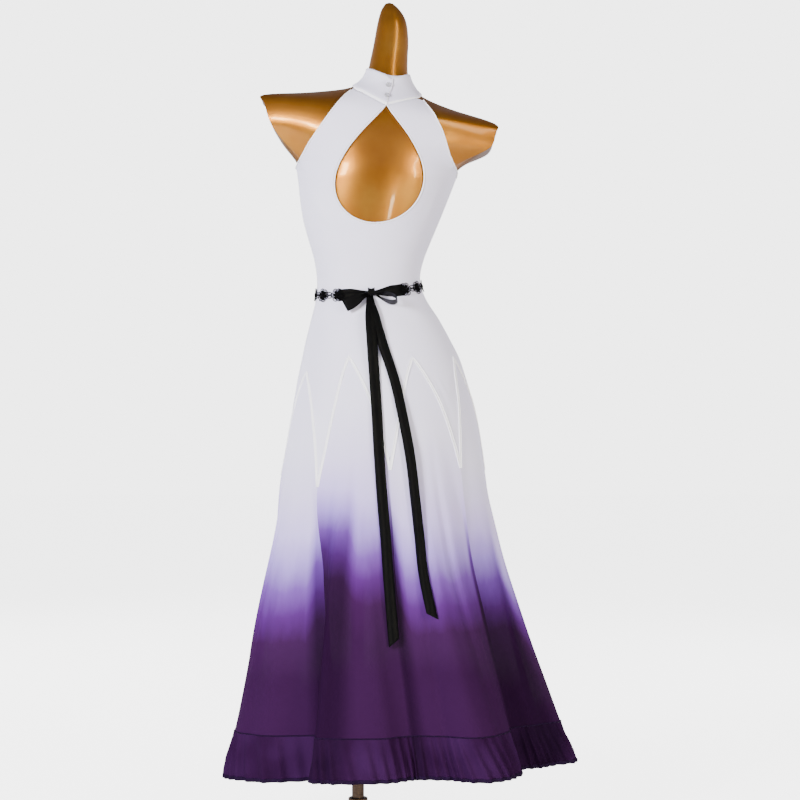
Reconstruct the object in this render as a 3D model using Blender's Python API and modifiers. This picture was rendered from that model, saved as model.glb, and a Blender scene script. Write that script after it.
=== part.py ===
"""A ballroom dance dress on a limbless dress form.

Metres, +Z up. The dress shows its back to +Y, and the wearer's left is at +X. The origin is at the centre
of the stand's base plate, on the floor. Angles round the body start at the centre back and grow towards
the wearer's left.
"""

import math

import bmesh
import bpy
from mathutils import Matrix, Vector
from mathutils.bvhtree import BVHTree

# Cloth and clearances
CLOTH_GAP = 0.003
FORM_TRIM = 0.0015
FORM_CLEARANCE = 0.0016
STRETCH_WALL = 0.0012
CHIFFON_WALL = 0.0011
TRIM_WALL = 0.0012
SEAM_GAP = 0.0004
BELT_GAP = 0.0056

# Heights of the main seams
WAIST_Z = 1.100
YOKE_TOP_Z = 0.985
FORM_CUT_Z = 0.770
FLOUNCE_SEAM_Z = 0.222
HEM_Z = 0.137

# Columns of the cloth
GORES = 8
GORE_COLUMNS = 8
UPPER_COLUMNS = 8
FORM_COLUMNS = 32
GATHERS_PER_GORE = 16
GATHER_HEIGHT = 0.0034

# Sections of the body and of the skirt below it: height, centre, half width, depth to the back and to the
# front, depth of the cut shoulder end, how far the section is a shoulder, roll, and steps to the next row.
SECTION_COLUMNS = ("z", "cx", "cy", "half", "back", "front", "end", "stub", "roll", "steps")
SECTIONS = (
    (0.120, -0.080, 0.000, 0.326, 0.248, 0.250, 0.00, 0.0, 0.0, 1),
    (0.218, -0.075, 0.000, 0.306, 0.236, 0.236, 0.00, 0.0, 0.0, 1),
    (0.300, -0.069, 0.000, 0.288, 0.222, 0.222, 0.00, 0.0, 0.0, 1),
    (0.382, -0.062, 0.000, 0.270, 0.208, 0.206, 0.00, 0.0, 0.0, 1),
    (0.464, -0.057, 0.000, 0.252, 0.192, 0.188, 0.00, 0.0, 0.0, 1),
    (0.546, -0.053, 0.000, 0.234, 0.181, 0.168, 0.00, 0.0, 0.0, 1),
    (0.628, -0.053, 0.000, 0.219, 0.162, 0.148, 0.00, 0.0, 0.0, 1),
    (0.710, -0.052, 0.000, 0.207, 0.145, 0.129, 0.00, 0.0, 0.0, 1),
    (0.770, -0.053, 0.000, 0.197, 0.133, 0.117, 0.00, 0.0, 0.0, 1),
    (0.820, -0.053, 0.000, 0.189, 0.126, 0.109, 0.00, 0.0, 0.0, 1),
    (0.874, -0.052, 0.000, 0.179, 0.119, 0.102, 0.00, 0.0, 0.0, 1),
    (0.920, -0.049, 0.000, 0.168, 0.113, 0.099, 0.00, 0.0, 0.0, 1),
    (0.956, -0.047, 0.000, 0.158, 0.107, 0.097, 0.00, 0.0, 0.0, 1),
    (0.997, -0.041, 0.000, 0.1435, 0.098, 0.095, 0.00, 0.0, 0.0, 1),
    (1.038, -0.035, 0.000, 0.127, 0.086, 0.092, 0.00, 0.0, 0.0, 2),
    (1.079, -0.0265, 0.000, 0.109, 0.076, 0.088, 0.00, 0.0, 0.0, 2),
    (1.120, -0.0215, 0.000, 0.1015, 0.070, 0.086, 0.00, 0.0, 0.0, 2),
    (1.161, -0.0225, 0.000, 0.108, 0.072, 0.088, 0.00, 0.0, 0.0, 2),
    (1.202, -0.0246, 0.000, 0.122, 0.078, 0.094, 0.00, 0.0, 0.0, 1),
    (1.243, -0.0277, 0.000, 0.136, 0.085, 0.105, 0.00, 0.0, 0.0, 1),
    (1.284, -0.0328, 0.000, 0.1475, 0.092, 0.117, 0.00, 0.0, 0.0, 1),
    (1.325, -0.0385, 0.000, 0.1575, 0.098, 0.118, 0.00, 0.0, 0.0, 1),
    (1.352, -0.0400, 0.000, 0.167, 0.101, 0.112, 0.03, 0.3, 2.5, 1),
    (1.381, -0.0360, 0.000, 0.194, 0.102, 0.100, 0.045, 0.8, 5.5, 1),
    (1.411, -0.0400, 0.000, 0.219, 0.101, 0.088, 0.055, 1.0, 6.5, 1),
    (1.445, -0.0430, 0.000, 0.234, 0.096, 0.074, 0.052, 1.0, 7.0, 1),
    (1.465, -0.0430, 0.000, 0.2375, 0.087, 0.062, 0.040, 1.0, 7.0, 1),
    (1.484, -0.0480, -0.002, 0.152, 0.074, 0.056, 0.020, 0.6, 7.0, 1),
    (1.500, -0.0560, -0.003, 0.088, 0.062, 0.055, 0.01, 0.2, 7.0, 1),
    (1.516, -0.0600, -0.004, 0.060, 0.053, 0.054, 0.00, 0.0, 7.0, 1),
    (1.543, -0.0610, -0.005, 0.0440, 0.045, 0.047, 0.00, 0.0, 5.0, 1),
    (1.575, -0.0640, -0.006, 0.0395, 0.040, 0.041, 0.00, 0.0, 2.0, 1),
    (1.608, -0.0680, -0.008, 0.0370, 0.036, 0.037, 0.00, 0.0, 0.0, 1),
    (1.641, -0.0697, -0.009, 0.0328, 0.031, 0.031, 0.00, 0.0, 0.0, 1),
    (1.661, -0.0690, -0.010, 0.0275, 0.025, 0.025, 0.00, 0.0, 0.0, 1),
    (1.676, -0.0665, -0.010, 0.0200, 0.018, 0.018, 0.00, 0.0, 0.0, 1),
    (1.688, -0.0640, -0.010, 0.0100, 0.009, 0.009, 0.00, 0.0, 0.0, 1),
)

# The zigzag hip seam and the skirt folds below it. A tip is the lower end of a stretch tongue, where a
# valley of the skirt starts; hem_angle is where that valley reaches the hem, and lean how far the folds
# beside it lie over it.
TIP_COLUMNS = ("angle", "z", "hem_angle", "lean")
TIPS = (
    (-4.0, 0.735, -7.0, 0.35),
    (38.0, 0.700, 36.0, 2.00),
    (88.0, 0.720, 88.0, 0.10),
    (134.0, 0.715, 131.0, -0.15),
    (178.0, 0.725, 180.0, 0.20),
    (223.0, 0.715, 226.0, 0.30),
    (268.0, 0.730, 256.0, -0.05),
    (311.0, 0.737, 299.0, -0.35),
)
# Each gore lies between one tip and the next: its peak, how far its fold swings at the hem, and how much
# lower than its sides the middle of its hem hangs.
PEAK_COLUMNS = ("angle", "z", "swing", "sag")
PEAKS = (
    (23.3, 0.960, 42.0, 0.000),
    (63.5, 0.930, 54.0, 0.020),
    (112.0, 0.950, 52.0, 0.004),
    (157.0, 0.960, 54.0, 0.008),
    (202.0, 0.960, 54.0, 0.000),
    (248.0, 0.950, 52.0, 0.006),
    (294.0, 0.958, 50.0, 0.000),
    (336.7, 0.958, 42.0, 0.000),
)
TONGUE_SLOPE = 0.45
TONGUE_POWER = 2.6
FOLD_TOP_Z = 0.880
FADE_DROP = 0.17
SEAM_SAG = 0.6

# Upper back, seen square on: x and z of the armhole edges and of the keyhole.
ARMHOLE_LEFT = ((0.1245, 1.345), (0.094, 1.392), (0.051, 1.450), (0.024, 1.484), (0.006, 1.503))
ARMHOLE_RIGHT = ((-0.2030, 1.330), (-0.184, 1.368), (-0.168, 1.415), (-0.152, 1.447), (-0.122, 1.490))
KEYHOLE_APEX = (-0.0588, 1.4665)
KEYHOLE_FOOT = (-0.0360, 1.228)
KEYHOLE_HALF = 0.0905
KEYHOLE_WIDEST = 0.633
APEX_HALF = 0.0012
APEX_DEGREES = 1.2
COLLAR_CORNER_DEGREES = 52.0
# How far along the keyhole, from apex to foot, and along the armhole, from armpit to collar, each row runs.
KEYHOLE_ROWS = ((1.0, 0.0), (0.985, 0.0), (0.94, 0.0), (0.86, 0.0), (0.76, 0.0), (0.66, 0.0),
                (0.60, 0.06), (0.54, 0.14), (0.48, 0.25), (0.36, 0.45), (0.22, 0.68), (0.10, 0.86), (0.0, 1.0))
SIDE_ROW_Z = (1.224, 1.238, 1.258, 1.288, 1.318)
SIDE_CROWDING = 1.35
NECK_DIP_BACK = 0.0385
NECK_DIP_FRONT = 0.024

# Trims
BINDING_RADIUS = 0.0015
BUTTON_RADIUS = 0.005
BUTTON_THICK = 0.003
BUTTONS = (("button_upper", -0.0625, 1.510), ("button_lower", -0.0600, 1.486))
FLOWERS_A_SIDE = 7
FLOWER_RADIUS = 0.0135
FLOWER_RISE = 0.0015
LACE_WALL = 0.0016
FIRST_FLOWER_DEGREES = {1: 36.0, -1: 42.0}
RIBBON_WIDTH = 0.025
TAIL_LIFT = 0.0032
KNOT_DEGREES = -2.0
KNOT_SIZE = (0.022, 0.013, 0.020)
KNOT_LIFT = 0.0014
# The middle line of each ribbon tail, x and z, from the knot down.
TAIL_LEFT = ((-0.0251, 1.072), (-0.028, 0.994), (-0.0414, 0.771), (-0.0594, 0.527), (-0.0705, 0.401))
TAIL_RIGHT = ((-0.0381, 1.072), (-0.051, 0.994), (-0.0874, 0.874), (-0.1027, 0.795), (-0.1295, 0.527),
              (-0.1476, 0.4526))

MATERIALS = {
    "white_stretch": ((0.80, 0.79, 0.86), 0.55, 0.0),
    "ombre_chiffon": ((0.30, 0.19, 0.45), 0.70, 0.0),
    "gold_paint": ((0.48, 0.19, 0.035), 0.28, 0.65),
    "black_satin": ((0.012, 0.012, 0.014), 0.35, 0.0),
    "black_guipure": ((0.010, 0.010, 0.011), 0.75, 0.0),
    "clear_acrylic": ((0.75, 0.75, 0.78), 0.10, 0.0),
    "brown_steel": ((0.16, 0.11, 0.08), 0.35, 0.8),
}


def row_dict(columns, row):
    return dict(zip(columns, row))


SECTION_ROWS = [row_dict(SECTION_COLUMNS, row) for row in SECTIONS]
TIP_ROWS = [row_dict(TIP_COLUMNS, row) for row in TIPS]
PEAK_ROWS = [row_dict(PEAK_COLUMNS, row) for row in PEAKS]


def lerp(a, b, t):
    return a + (b - a) * t


def smooth(t):
    t = max(0.0, min(1.0, t))
    return t * t * (3.0 - 2.0 * t)


def clear_scene():
    for item in list(bpy.data.objects):
        bpy.data.objects.remove(item, do_unlink=True)


def make_material(name):
    colour, roughness, metallic = MATERIALS[name]
    material = bpy.data.materials.new(name)
    material.use_nodes = True
    shader = material.node_tree.nodes["Principled BSDF"]
    shader.inputs["Base Color"].default_value = (*colour, 1.0)
    shader.inputs["Roughness"].default_value = roughness
    shader.inputs["Metallic"].default_value = metallic
    return material


def blended_section(row, t):
    """The section a fraction t of the way from one table row to the next, on a smooth curve."""
    last = len(SECTION_ROWS) - 1
    rows = [SECTION_ROWS[max(0, min(last, row + step))] for step in (-1, 0, 1, 2)]
    section = {}
    for key in SECTION_COLUMNS:
        a, b, c, d = (item[key] for item in rows)
        slope_in = (c - a) / 2.0
        slope_out = (d - b) / 2.0
        t2 = t * t
        t3 = t2 * t
        section[key] = ((2 * t3 - 3 * t2 + 1) * b + (t3 - 2 * t2 + t) * slope_in
                        + (3 * t2 - 2 * t3) * c + (t3 - t2) * slope_out)
    return section


def section_at(z):
    for row in range(len(SECTION_ROWS) - 1):
        if z <= SECTION_ROWS[row + 1]["z"]:
            break
    low = SECTION_ROWS[row]["z"]
    high = SECTION_ROWS[row + 1]["z"]
    section = blended_section(row, (z - low) / (high - low))
    section["z"] = z
    return section


def section_point(section, degrees, push=0.0):
    """A point on a section: an ellipse low down, and towards the shoulders a lozenge with cut ends."""
    angle = math.radians(degrees)
    depth = section["back"] if math.cos(angle) >= 0.0 else section["front"]
    x = section["half"] * math.sin(angle)
    y = depth * math.cos(angle)
    if section["stub"] > 0.0:
        folded = math.degrees(math.asin(min(1.0, abs(math.sin(angle)))))
        side = math.copysign(1.0, math.sin(angle))
        face = math.copysign(1.0, math.cos(angle))
        along = min(1.0, folded / 60.0)
        if folded <= 60.0:
            stub_y = section["end"] + (depth - section["end"]) * math.cos(along * math.pi / 2.0) ** 1.2
        else:
            stub_y = section["end"] * (90.0 - folded) / 30.0
        x = lerp(x, side * section["half"] * along ** 0.95, section["stub"])
        y = lerp(y, face * stub_y, section["stub"])
    reach = math.hypot(x, y)
    scale = (reach + push) / reach
    point = Vector((x * scale, y * scale, 0.0))
    point = Matrix.Rotation(math.radians(-section["roll"]), 3, "Y") @ point
    return point + Vector((section["cx"], section["cy"], section["z"]))


def skin_point(z, degrees, offset):
    """A point on the body or skirt below the armpits, moved out along the surface's normal."""
    step_z = 0.004
    step_angle = 2.0
    point = section_point(section_at(z), degrees)
    here = section_at(z)
    around = section_point(here, degrees + step_angle) - section_point(here, degrees - step_angle)
    up = section_point(section_at(z + step_z), degrees) - section_point(section_at(z - step_z), degrees)
    return point + up.cross(around).normalized() * offset


def body_rows():
    rows = []
    for row in range(len(SECTION_ROWS) - 1):
        if SECTION_ROWS[row]["z"] < FORM_CUT_Z:
            continue
        steps = SECTION_ROWS[row]["steps"]
        rows += [blended_section(row, step / steps) for step in range(steps)]
    rows.append(SECTION_ROWS[-1])
    return rows


def body_mesh(columns, push=0.0):
    rows = body_rows()
    points = [section_point(row, 360.0 * c / columns, push) for row in rows for c in range(columns)]
    faces = []
    for r in range(len(rows) - 1):
        for c in range(columns):
            d = (c + 1) % columns
            faces.append((r * columns + d, r * columns + c, (r + 1) * columns + c, (r + 1) * columns + d))
    return points, faces


GUIDE = BVHTree.FromPolygons(*body_mesh(3 * FORM_COLUMNS))
FORM = BVHTree.FromPolygons(*body_mesh(FORM_COLUMNS, -FORM_TRIM))


def elevation_point(x, z, face, offset):
    """A point of the upper body, seen square on from the back (face 1) or the front (face -1)."""
    hit, normal, _, _ = GUIDE.ray_cast(Vector((x, face, z)), Vector((0.0, -face, 0.0)))
    if hit is None:
        raise ValueError(f"no body at x {x:.4f} z {z:.4f}")
    if normal.y * face < 0.0:
        normal = -normal
    return hit + normal * offset


def neck_point(z, degrees, offset):
    """A point round the neck at height z."""
    angle = math.radians(degrees)
    out = Vector((math.sin(angle), math.cos(angle), 0.0))
    section = section_at(z)
    centre = Vector((section["cx"], section["cy"], z))
    hit, normal, _, _ = GUIDE.ray_cast(centre, out)
    if normal.dot(out) < 0.0:
        normal = -normal
    return hit + normal * offset


def add_mesh(name, points, faces, material, smooth_angle=40.0):
    mesh = bpy.data.meshes.new(name)
    mesh.from_pydata([tuple(p) for p in points], [], faces)
    mesh.materials.append(MATERIAL[material])
    mesh.shade_smooth()
    mesh.set_sharp_from_angle(angle=math.radians(smooth_angle))
    piece = bpy.data.objects.new(name, mesh)
    COLLECTION.objects.link(piece)
    return piece


def thicken(piece, wall, way=1.0):
    """Gives a sheet its wall, outwards (way 1) or inwards (way -1)."""
    solid = piece.modifiers.new("wall", "SOLIDIFY")
    solid.thickness = wall
    solid.offset = way
    solid.use_even_offset = True
    return piece


def grid_faces(rows, columns, closed=False):
    faces = []
    for r in range(rows - 1):
        for c in range(columns if closed else columns - 1):
            d = (c + 1) % columns
            faces.append((r * columns + c, r * columns + d, (r + 1) * columns + d, (r + 1) * columns + c))
    return faces


def add_sheet(name, rows, material, wall, closed=False, way=1.0):
    """A cloth wall through rows of points; each row runs the same way and has the same length."""
    points = [point for row in rows for point in row]
    faces = grid_faces(len(rows), len(rows[0]), closed)
    return thicken(add_mesh(name, points, faces, material), wall, way)


def make_form():
    columns = FORM_COLUMNS
    points, faces = body_mesh(columns, -FORM_TRIM)
    faces.append(tuple(range(columns)))
    top = len(points) - columns
    tip = sum((points[top + c] for c in range(columns)), Vector()) / columns + Vector((0.0, 0.0, 0.003))
    points.append(tip)
    for c in range(columns):
        faces.append((top + c, len(points) - 1, top + (c + 1) % columns))
    return add_mesh("form_torso", points, faces, "gold_paint", 50.0)


def add_turned(name, profile, material, sides=32):
    """A turned piece about the pole's axis, from its profile of radius and height, top to bottom."""
    points = [(radius, 0.0, z) for radius, z in profile]
    edges = [(i, i + 1) for i in range(len(points) - 1)]
    mesh = bpy.data.meshes.new(name)
    mesh.from_pydata(points, edges, [])
    mesh.materials.append(MATERIAL[material])
    piece = bpy.data.objects.new(name, mesh)
    COLLECTION.objects.link(piece)
    screw = piece.modifiers.new("turn", "SCREW")
    screw.steps = sides
    screw.render_steps = sides
    screw.use_merge_vertices = True
    screw.merge_threshold = 0.0001
    return piece


def make_stand():
    pole_radius = 0.0125
    plate_top = 0.012
    collar_top = 0.060
    gap = 0.0003
    flange_low = FORM_CUT_Z - 0.014
    add_turned("base_plate", ((0, plate_top), (0.160, plate_top), (0.168, 0.009), (0.170, 0.004),
                              (0.170, 0.0), (0, 0)), "brown_steel", 36)
    add_turned("base_collar", ((0, collar_top), (0.018, collar_top), (0.020, collar_top - 0.004),
                               (0.020, 0.030), (0.034, plate_top + 0.006), (0.036, plate_top + gap),
                               (0, plate_top + gap)), "brown_steel", 24)
    add_turned("form_pole", ((0, flange_low - gap), (pole_radius, flange_low - gap),
                             (pole_radius, collar_top + gap), (0, collar_top + gap)), "brown_steel", 24)
    add_turned("form_flange", ((0, FORM_CUT_Z - gap), (0.045, FORM_CUT_Z - gap), (0.045, FORM_CUT_Z - 0.005),
                               (0.022, flange_low), (0, flange_low)), "brown_steel", 24)


def seam_place(gore, w):
    """The angle and height of the zigzag seam a fraction w of the way across a gore."""
    peak = PEAK_ROWS[gore % GORES]
    turns = 360.0 * (gore // GORES)
    before = TIP_ROWS[gore % GORES]
    after = TIP_ROWS[(gore + 1) % GORES]
    angle_after = after["angle"] + (360.0 if gore % GORES == GORES - 1 else 0.0)
    tip, tip_angle = (before, before["angle"]) if w < 0.5 else (after, angle_after)
    s = abs(w - 0.5) * 2.0
    fall = TONGUE_SLOPE * s + (1.0 - TONGUE_SLOPE) * s ** TONGUE_POWER
    z = lerp(peak["z"], tip["z"], fall)
    return lerp(peak["angle"], tip_angle, s) + turns, z


def seam_clearance(gore, w):
    """How far above or below the seam an edge stays, so that the gap square to the seam is even."""
    step = 0.02
    low, high = max(0.0, w - step), min(1.0, w + step)
    angle_a, z_a = seam_place(gore, low)
    angle_b, z_b = seam_place(gore, high)
    run = math.radians(angle_b - angle_a) * 0.15
    slope = max(abs(z_b - z_a) / run, 0.0)
    return 0.8 * SEAM_GAP * math.sqrt(1.0 + slope * slope)


def fold_curve(w, swing):
    """A cloth wave from valley to valley: how far across and how far out it is, in wavelengths."""
    samples = 48
    across, out = [0.0], [0.0]
    for i in range(samples):
        bearing = swing * math.sin(2.0 * math.pi * (i + 0.5) / samples)
        across.append(across[-1] + math.cos(bearing))
        out.append(out[-1] + math.sin(bearing))
    place = w * samples
    i = min(samples - 1, int(place))
    x = lerp(across[i], across[i + 1], place - i) / across[-1]
    y = lerp(out[i], out[i + 1], place - i) / across[-1]
    middle = (max(out) + min(out)) / 2.0 / across[-1]
    return x, y - middle


def gore_span(gore, z):
    """The angles of the two valleys beside a gore at height z."""
    sides = []
    for place in (gore, gore + 1):
        tip = TIP_ROWS[place % GORES]
        low = max(0.0, min(1.0, (tip["z"] - z) / (tip["z"] - HEM_Z)))
        sides.append(lerp(tip["angle"], tip["hem_angle"], low) + 360.0 * (place // GORES))
    return sides


def fold_swing(gore, z):
    grown = max(0.0, min(1.0, (FOLD_TOP_Z - z) / (FOLD_TOP_Z - HEM_Z)))
    return math.radians(PEAK_ROWS[gore % GORES]["swing"]) * grown


def valley_depth(gore, z):
    """How far in the valleys of a gore would lie if both its sides were alike, as a share of the radius."""
    left, right = gore_span(gore, z)
    return -fold_curve(0.0, fold_swing(gore, z))[1] * math.radians(right - left)


def fold_point(gore, w, z, offset=0.0):
    """A point of the skirt: the section, with the gore's fold growing below the zigzag seam."""
    seam_angle, seam_z = seam_place(gore, w)
    fade = smooth((seam_z - z) / FADE_DROP)
    left, right = gore_span(gore, z)
    across, out = fold_curve(w, fold_swing(gore, z))
    section = section_at(z)
    own = valley_depth(gore, z)
    share = out * math.radians(right - left)
    if own > 0.0:
        beside = [(own + valley_depth(gore + step, z)) / 2.0 / own for step in (-1, 1)]
        share *= lerp(beside[0], beside[1], w)
    lean = lerp(TIP_ROWS[gore]["lean"], TIP_ROWS[(gore + 1) % GORES]["lean"], w)
    angle = lerp(seam_angle, lerp(left, right, across), fade)
    angle += fade * lean * math.degrees(share)
    radius = (section["half"] + section["back"]) / 2.0
    point = section_point(section, angle, fade * share * radius)
    if offset == 0.0:
        return point
    return point + (skin_point(z, angle, offset) - section_point(section, angle))


def across_gore(share, z, gap):
    """How far across a gore a column lies, kept half a gap clear of the seams at both sides."""
    inset = gap / 2.0 / (section_at(z)["half"] * 2.0 * math.pi / GORES)
    return lerp(inset, 1.0 - inset, share)


def sag(gore, w):
    """How far below its even level the hem hangs a fraction w of the way across a gore."""
    return PEAK_ROWS[gore]["sag"] * math.sin(math.pi * w)


def make_gores():
    rows = 10
    for gore in range(GORES):
        grid = []
        for r in range(rows + 1):
            line = []
            for c in range(GORE_COLUMNS + 1):
                plain_w = c / GORE_COLUMNS
                top = seam_place(gore, plain_w)[1] - seam_clearance(gore, plain_w)
                z = lerp(top, FLOUNCE_SEAM_Z - SEAM_SAG * sag(gore, plain_w), (r / rows) ** 0.9)
                w = across_gore(plain_w, z, 2.6 * SEAM_GAP)
                line.append(fold_point(gore, w, z, CLOTH_GAP + CHIFFON_WALL))
            grid.append(line)
        add_sheet(f"gore_{gore + 1}", grid, "ombre_chiffon", CHIFFON_WALL, way=-1.0)


def flounce_point(gore, w, z, lift):
    """A point of the hem band, moved off the fold by a gather, square to the wall."""
    step = 0.004
    point = fold_point(gore, w, z, CLOTH_GAP + CHIFFON_WALL)
    side = fold_point(gore, min(1.0, w + step), z) - fold_point(gore, max(0.0, w - step), z)
    return point + Vector((0.0, 0.0, 1.0)).cross(side).normalized() * -lift


def make_flounces():
    columns = 2 * GATHERS_PER_GORE
    heights = (FLOUNCE_SEAM_Z - 0.0010, 0.180, HEM_Z)
    lifts = (0.35, 1.0, 1.15)
    shifts = (0.0, 0.012, 0.026)
    for gore in range(GORES):
        grid = []
        for z, lift, shift in zip(heights, lifts, shifts):
            line = []
            for c in range(columns + 1):
                share = c / columns
                share += shift * math.sin(math.pi * share)
                w = across_gore(share, z, 3.4 * SEAM_GAP)
                z_here = z - sag(gore, w) * lerp(SEAM_SAG, 1.0, (heights[0] - z) / (heights[0] - HEM_Z))
                end = 1.0 if 0 < c < columns else 0.0
                height = GATHER_HEIGHT * lift * end * (1.0 if c % 2 else -1.0)
                line.append(flounce_point(gore, w, z_here, height))
            grid.append(line)
        add_sheet(f"flounce_{gore + 1}", grid, "ombre_chiffon", CHIFFON_WALL, way=-1.0)


def column_angle(column, z):
    """Where a fine column lies at height z: even at the waist, on the seam's peaks and tips below."""
    gore, part = divmod(column, GORE_COLUMNS)
    even = column * 360.0 / (GORES * GORE_COLUMNS)
    seam_angle = seam_place(gore, part / GORE_COLUMNS)[0]
    return lerp(even, seam_angle, smooth((WAIST_Z - z) / (WAIST_Z - YOKE_TOP_Z)))


def side_gap(line):
    """Draws a row's two ends back from the side seam."""
    first = (line[1] - line[0]).normalized() * SEAM_GAP * 0.6
    last = (line[-2] - line[-1]).normalized() * SEAM_GAP * 0.6
    line[0] = line[0] + first
    line[-1] = line[-1] + last
    return line


def along_path(path, t):
    place = t * (len(path) - 1)
    i = min(len(path) - 2, int(place))
    return tuple(lerp(a, b, place - i) for a, b in zip(path[i], path[i + 1]))


def keyhole_edge(t, side):
    """The keyhole's outline, from its apex (t 0) to its foot (t 1); side is 1 on the wearer's left."""
    x = lerp(KEYHOLE_APEX[0], KEYHOLE_FOOT[0], t)
    z = lerp(KEYHOLE_APEX[1], KEYHOLE_FOOT[1], t)
    if t <= KEYHOLE_WIDEST:
        half = math.sin(math.pi / 2.0 * (t / KEYHOLE_WIDEST) ** 1.05)
    else:
        half = math.sqrt(max(0.0, 1.0 - ((t - KEYHOLE_WIDEST) / (1.0 - KEYHOLE_WIDEST)) ** 2))
    return x + side * max(APEX_HALF, KEYHOLE_HALF * half), z


def lower_rows(first_column):
    """The rows from just under the waist to the zigzag seam, with the fine columns."""
    fine = range(first_column, first_column + 4 * GORE_COLUMNS + 1)
    heights = (1.066, 1.026, YOKE_TOP_Z)
    rows = [[skin_point(z, column_angle(c, z), CLOTH_GAP) for c in fine] for z in heights]
    steps = 4
    for r in range(1, steps + 1):
        line = []
        for c in fine:
            gore, part = divmod(c, GORE_COLUMNS)
            angle, seam_z = seam_place(gore, part / GORE_COLUMNS)
            low = seam_z + seam_clearance(gore % GORES, part / GORE_COLUMNS)
            z = lerp(YOKE_TOP_Z, low, r / steps)
            line.append(skin_point(z, column_angle(c, z), CLOTH_GAP))
        rows.append(line)
    return rows


def middle_rows(first_column, heights):
    coarse = range(first_column, first_column + 4 * GORE_COLUMNS + 1, 2)
    return [[skin_point(z, column_angle(c, z), CLOTH_GAP) for c in coarse] for z in heights]


def upper_side_row(inner, outer, face, is_side, side):
    """One row of one half, from its inner end to its side seam or armhole, as projected on the body."""
    line = []
    for c in range(UPPER_COLUMNS + 1):
        share = c / UPPER_COLUMNS
        if is_side:
            z = lerp(inner[1], outer[1], share)
            section = section_at(z)
            start = (inner[0] - section["cx"]) * side / section["half"]
            first = math.degrees(math.asin(max(-1.0, min(1.0, start))))
            angle = lerp(first, 90.0, share)
            degrees = side * angle if face > 0 else side * (180.0 - angle)
            line.append(skin_point(z, degrees, CLOTH_GAP))
        else:
            x = lerp(inner[0], outer[0], math.sin(share * SIDE_CROWDING) / math.sin(SIDE_CROWDING))
            z = lerp(inner[1], outer[1], share)
            line.append(elevation_point(x, z, face, CLOTH_GAP))
    return line


def stitch_rows(faces, above, below):
    """Faces between a row and the finer or equal row under it; both are lists of point numbers."""
    if len(above) == len(below):
        for c in range(len(above) - 1):
            faces.append((above[c], above[c + 1], below[c + 1], below[c]))
        return
    for c in range(len(above) - 1):
        a, b = above[c], above[c + 1]
        d, e, f = below[2 * c], below[2 * c + 1], below[2 * c + 2]
        faces += [(a, e, d), (a, b, e), (b, f, e)]


def number_row(points, line):
    start = len(points)
    points += line
    return list(range(start, start + len(line)))


def neck_height(degrees):
    lean = 0.0095 * math.sin(math.radians(degrees))
    facing = math.cos(math.radians(degrees))
    dip = NECK_DIP_BACK if facing > 0.0 else NECK_DIP_FRONT
    return 1.5045 + lean - dip * abs(facing) ** 2.2


def upper_half_rows(face, side):
    """The rows of one half above the keyhole's foot, inner end first."""
    armhole = ARMHOLE_LEFT if side > 0 else ARMHOLE_RIGHT
    rows = []
    for i, (hole_t, arm_t) in enumerate(KEYHOLE_ROWS):
        if face > 0:
            inner = keyhole_edge(hole_t, side)
        else:
            inner = (lerp(KEYHOLE_FOOT[0], KEYHOLE_APEX[0], 1.0 - hole_t),
                     lerp(1.228, 1.4720, 1.0 - hole_t))
        is_side = i <= len(SIDE_ROW_Z)
        outer = along_path(armhole, arm_t)
        if i < len(SIDE_ROW_Z):
            outer = (0.0, SIDE_ROW_Z[i])
        rows.append(upper_side_row(inner, outer, face, is_side, side))
    rows[-1] = collar_row(face, side)
    return rows


def collar_row(face, side):
    """The top row of one half, just under the collar, from the centre to the armhole's corner."""
    line = []
    for c in range(UPPER_COLUMNS + 1):
        degrees = lerp(APEX_DEGREES, COLLAR_CORNER_DEGREES, c / UPPER_COLUMNS)
        degrees = side * (degrees if face > 0 else 180.0 - degrees + APEX_DEGREES)
        line.append(neck_point(neck_height(degrees) - SEAM_GAP, degrees, CLOTH_GAP))
    return line


def ease_off(points, faces, clearance):
    """Moves cloth points out wherever a flat facet between them would come too near the form."""
    spans = set()
    for face in faces:
        spans.add(tuple(sorted(face)))
        spans.update((i,) for i in face)
        spans.update(tuple(sorted(pair)) for pair in zip(face, face[1:] + face[:1]))
        if len(face) == 4:
            spans.update((tuple(sorted(face[::2])), tuple(sorted(face[1::2]))))
    spans = sorted(spans)
    for _ in range(40):
        moved = False
        for span in spans:
            sample = sum((points[i] for i in span), Vector()) / len(span)
            near, way, _, distance = FORM.find_nearest(sample)
            if (sample - near).dot(way) < 0.0:
                distance = -distance
            elif distance > 0.0001:
                way = (sample - near) / distance
            if distance < clearance:
                moved = True
                for i in span:
                    points[i] = points[i] + way * (clearance - distance + 0.00002)
        if not moved:
            return


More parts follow.
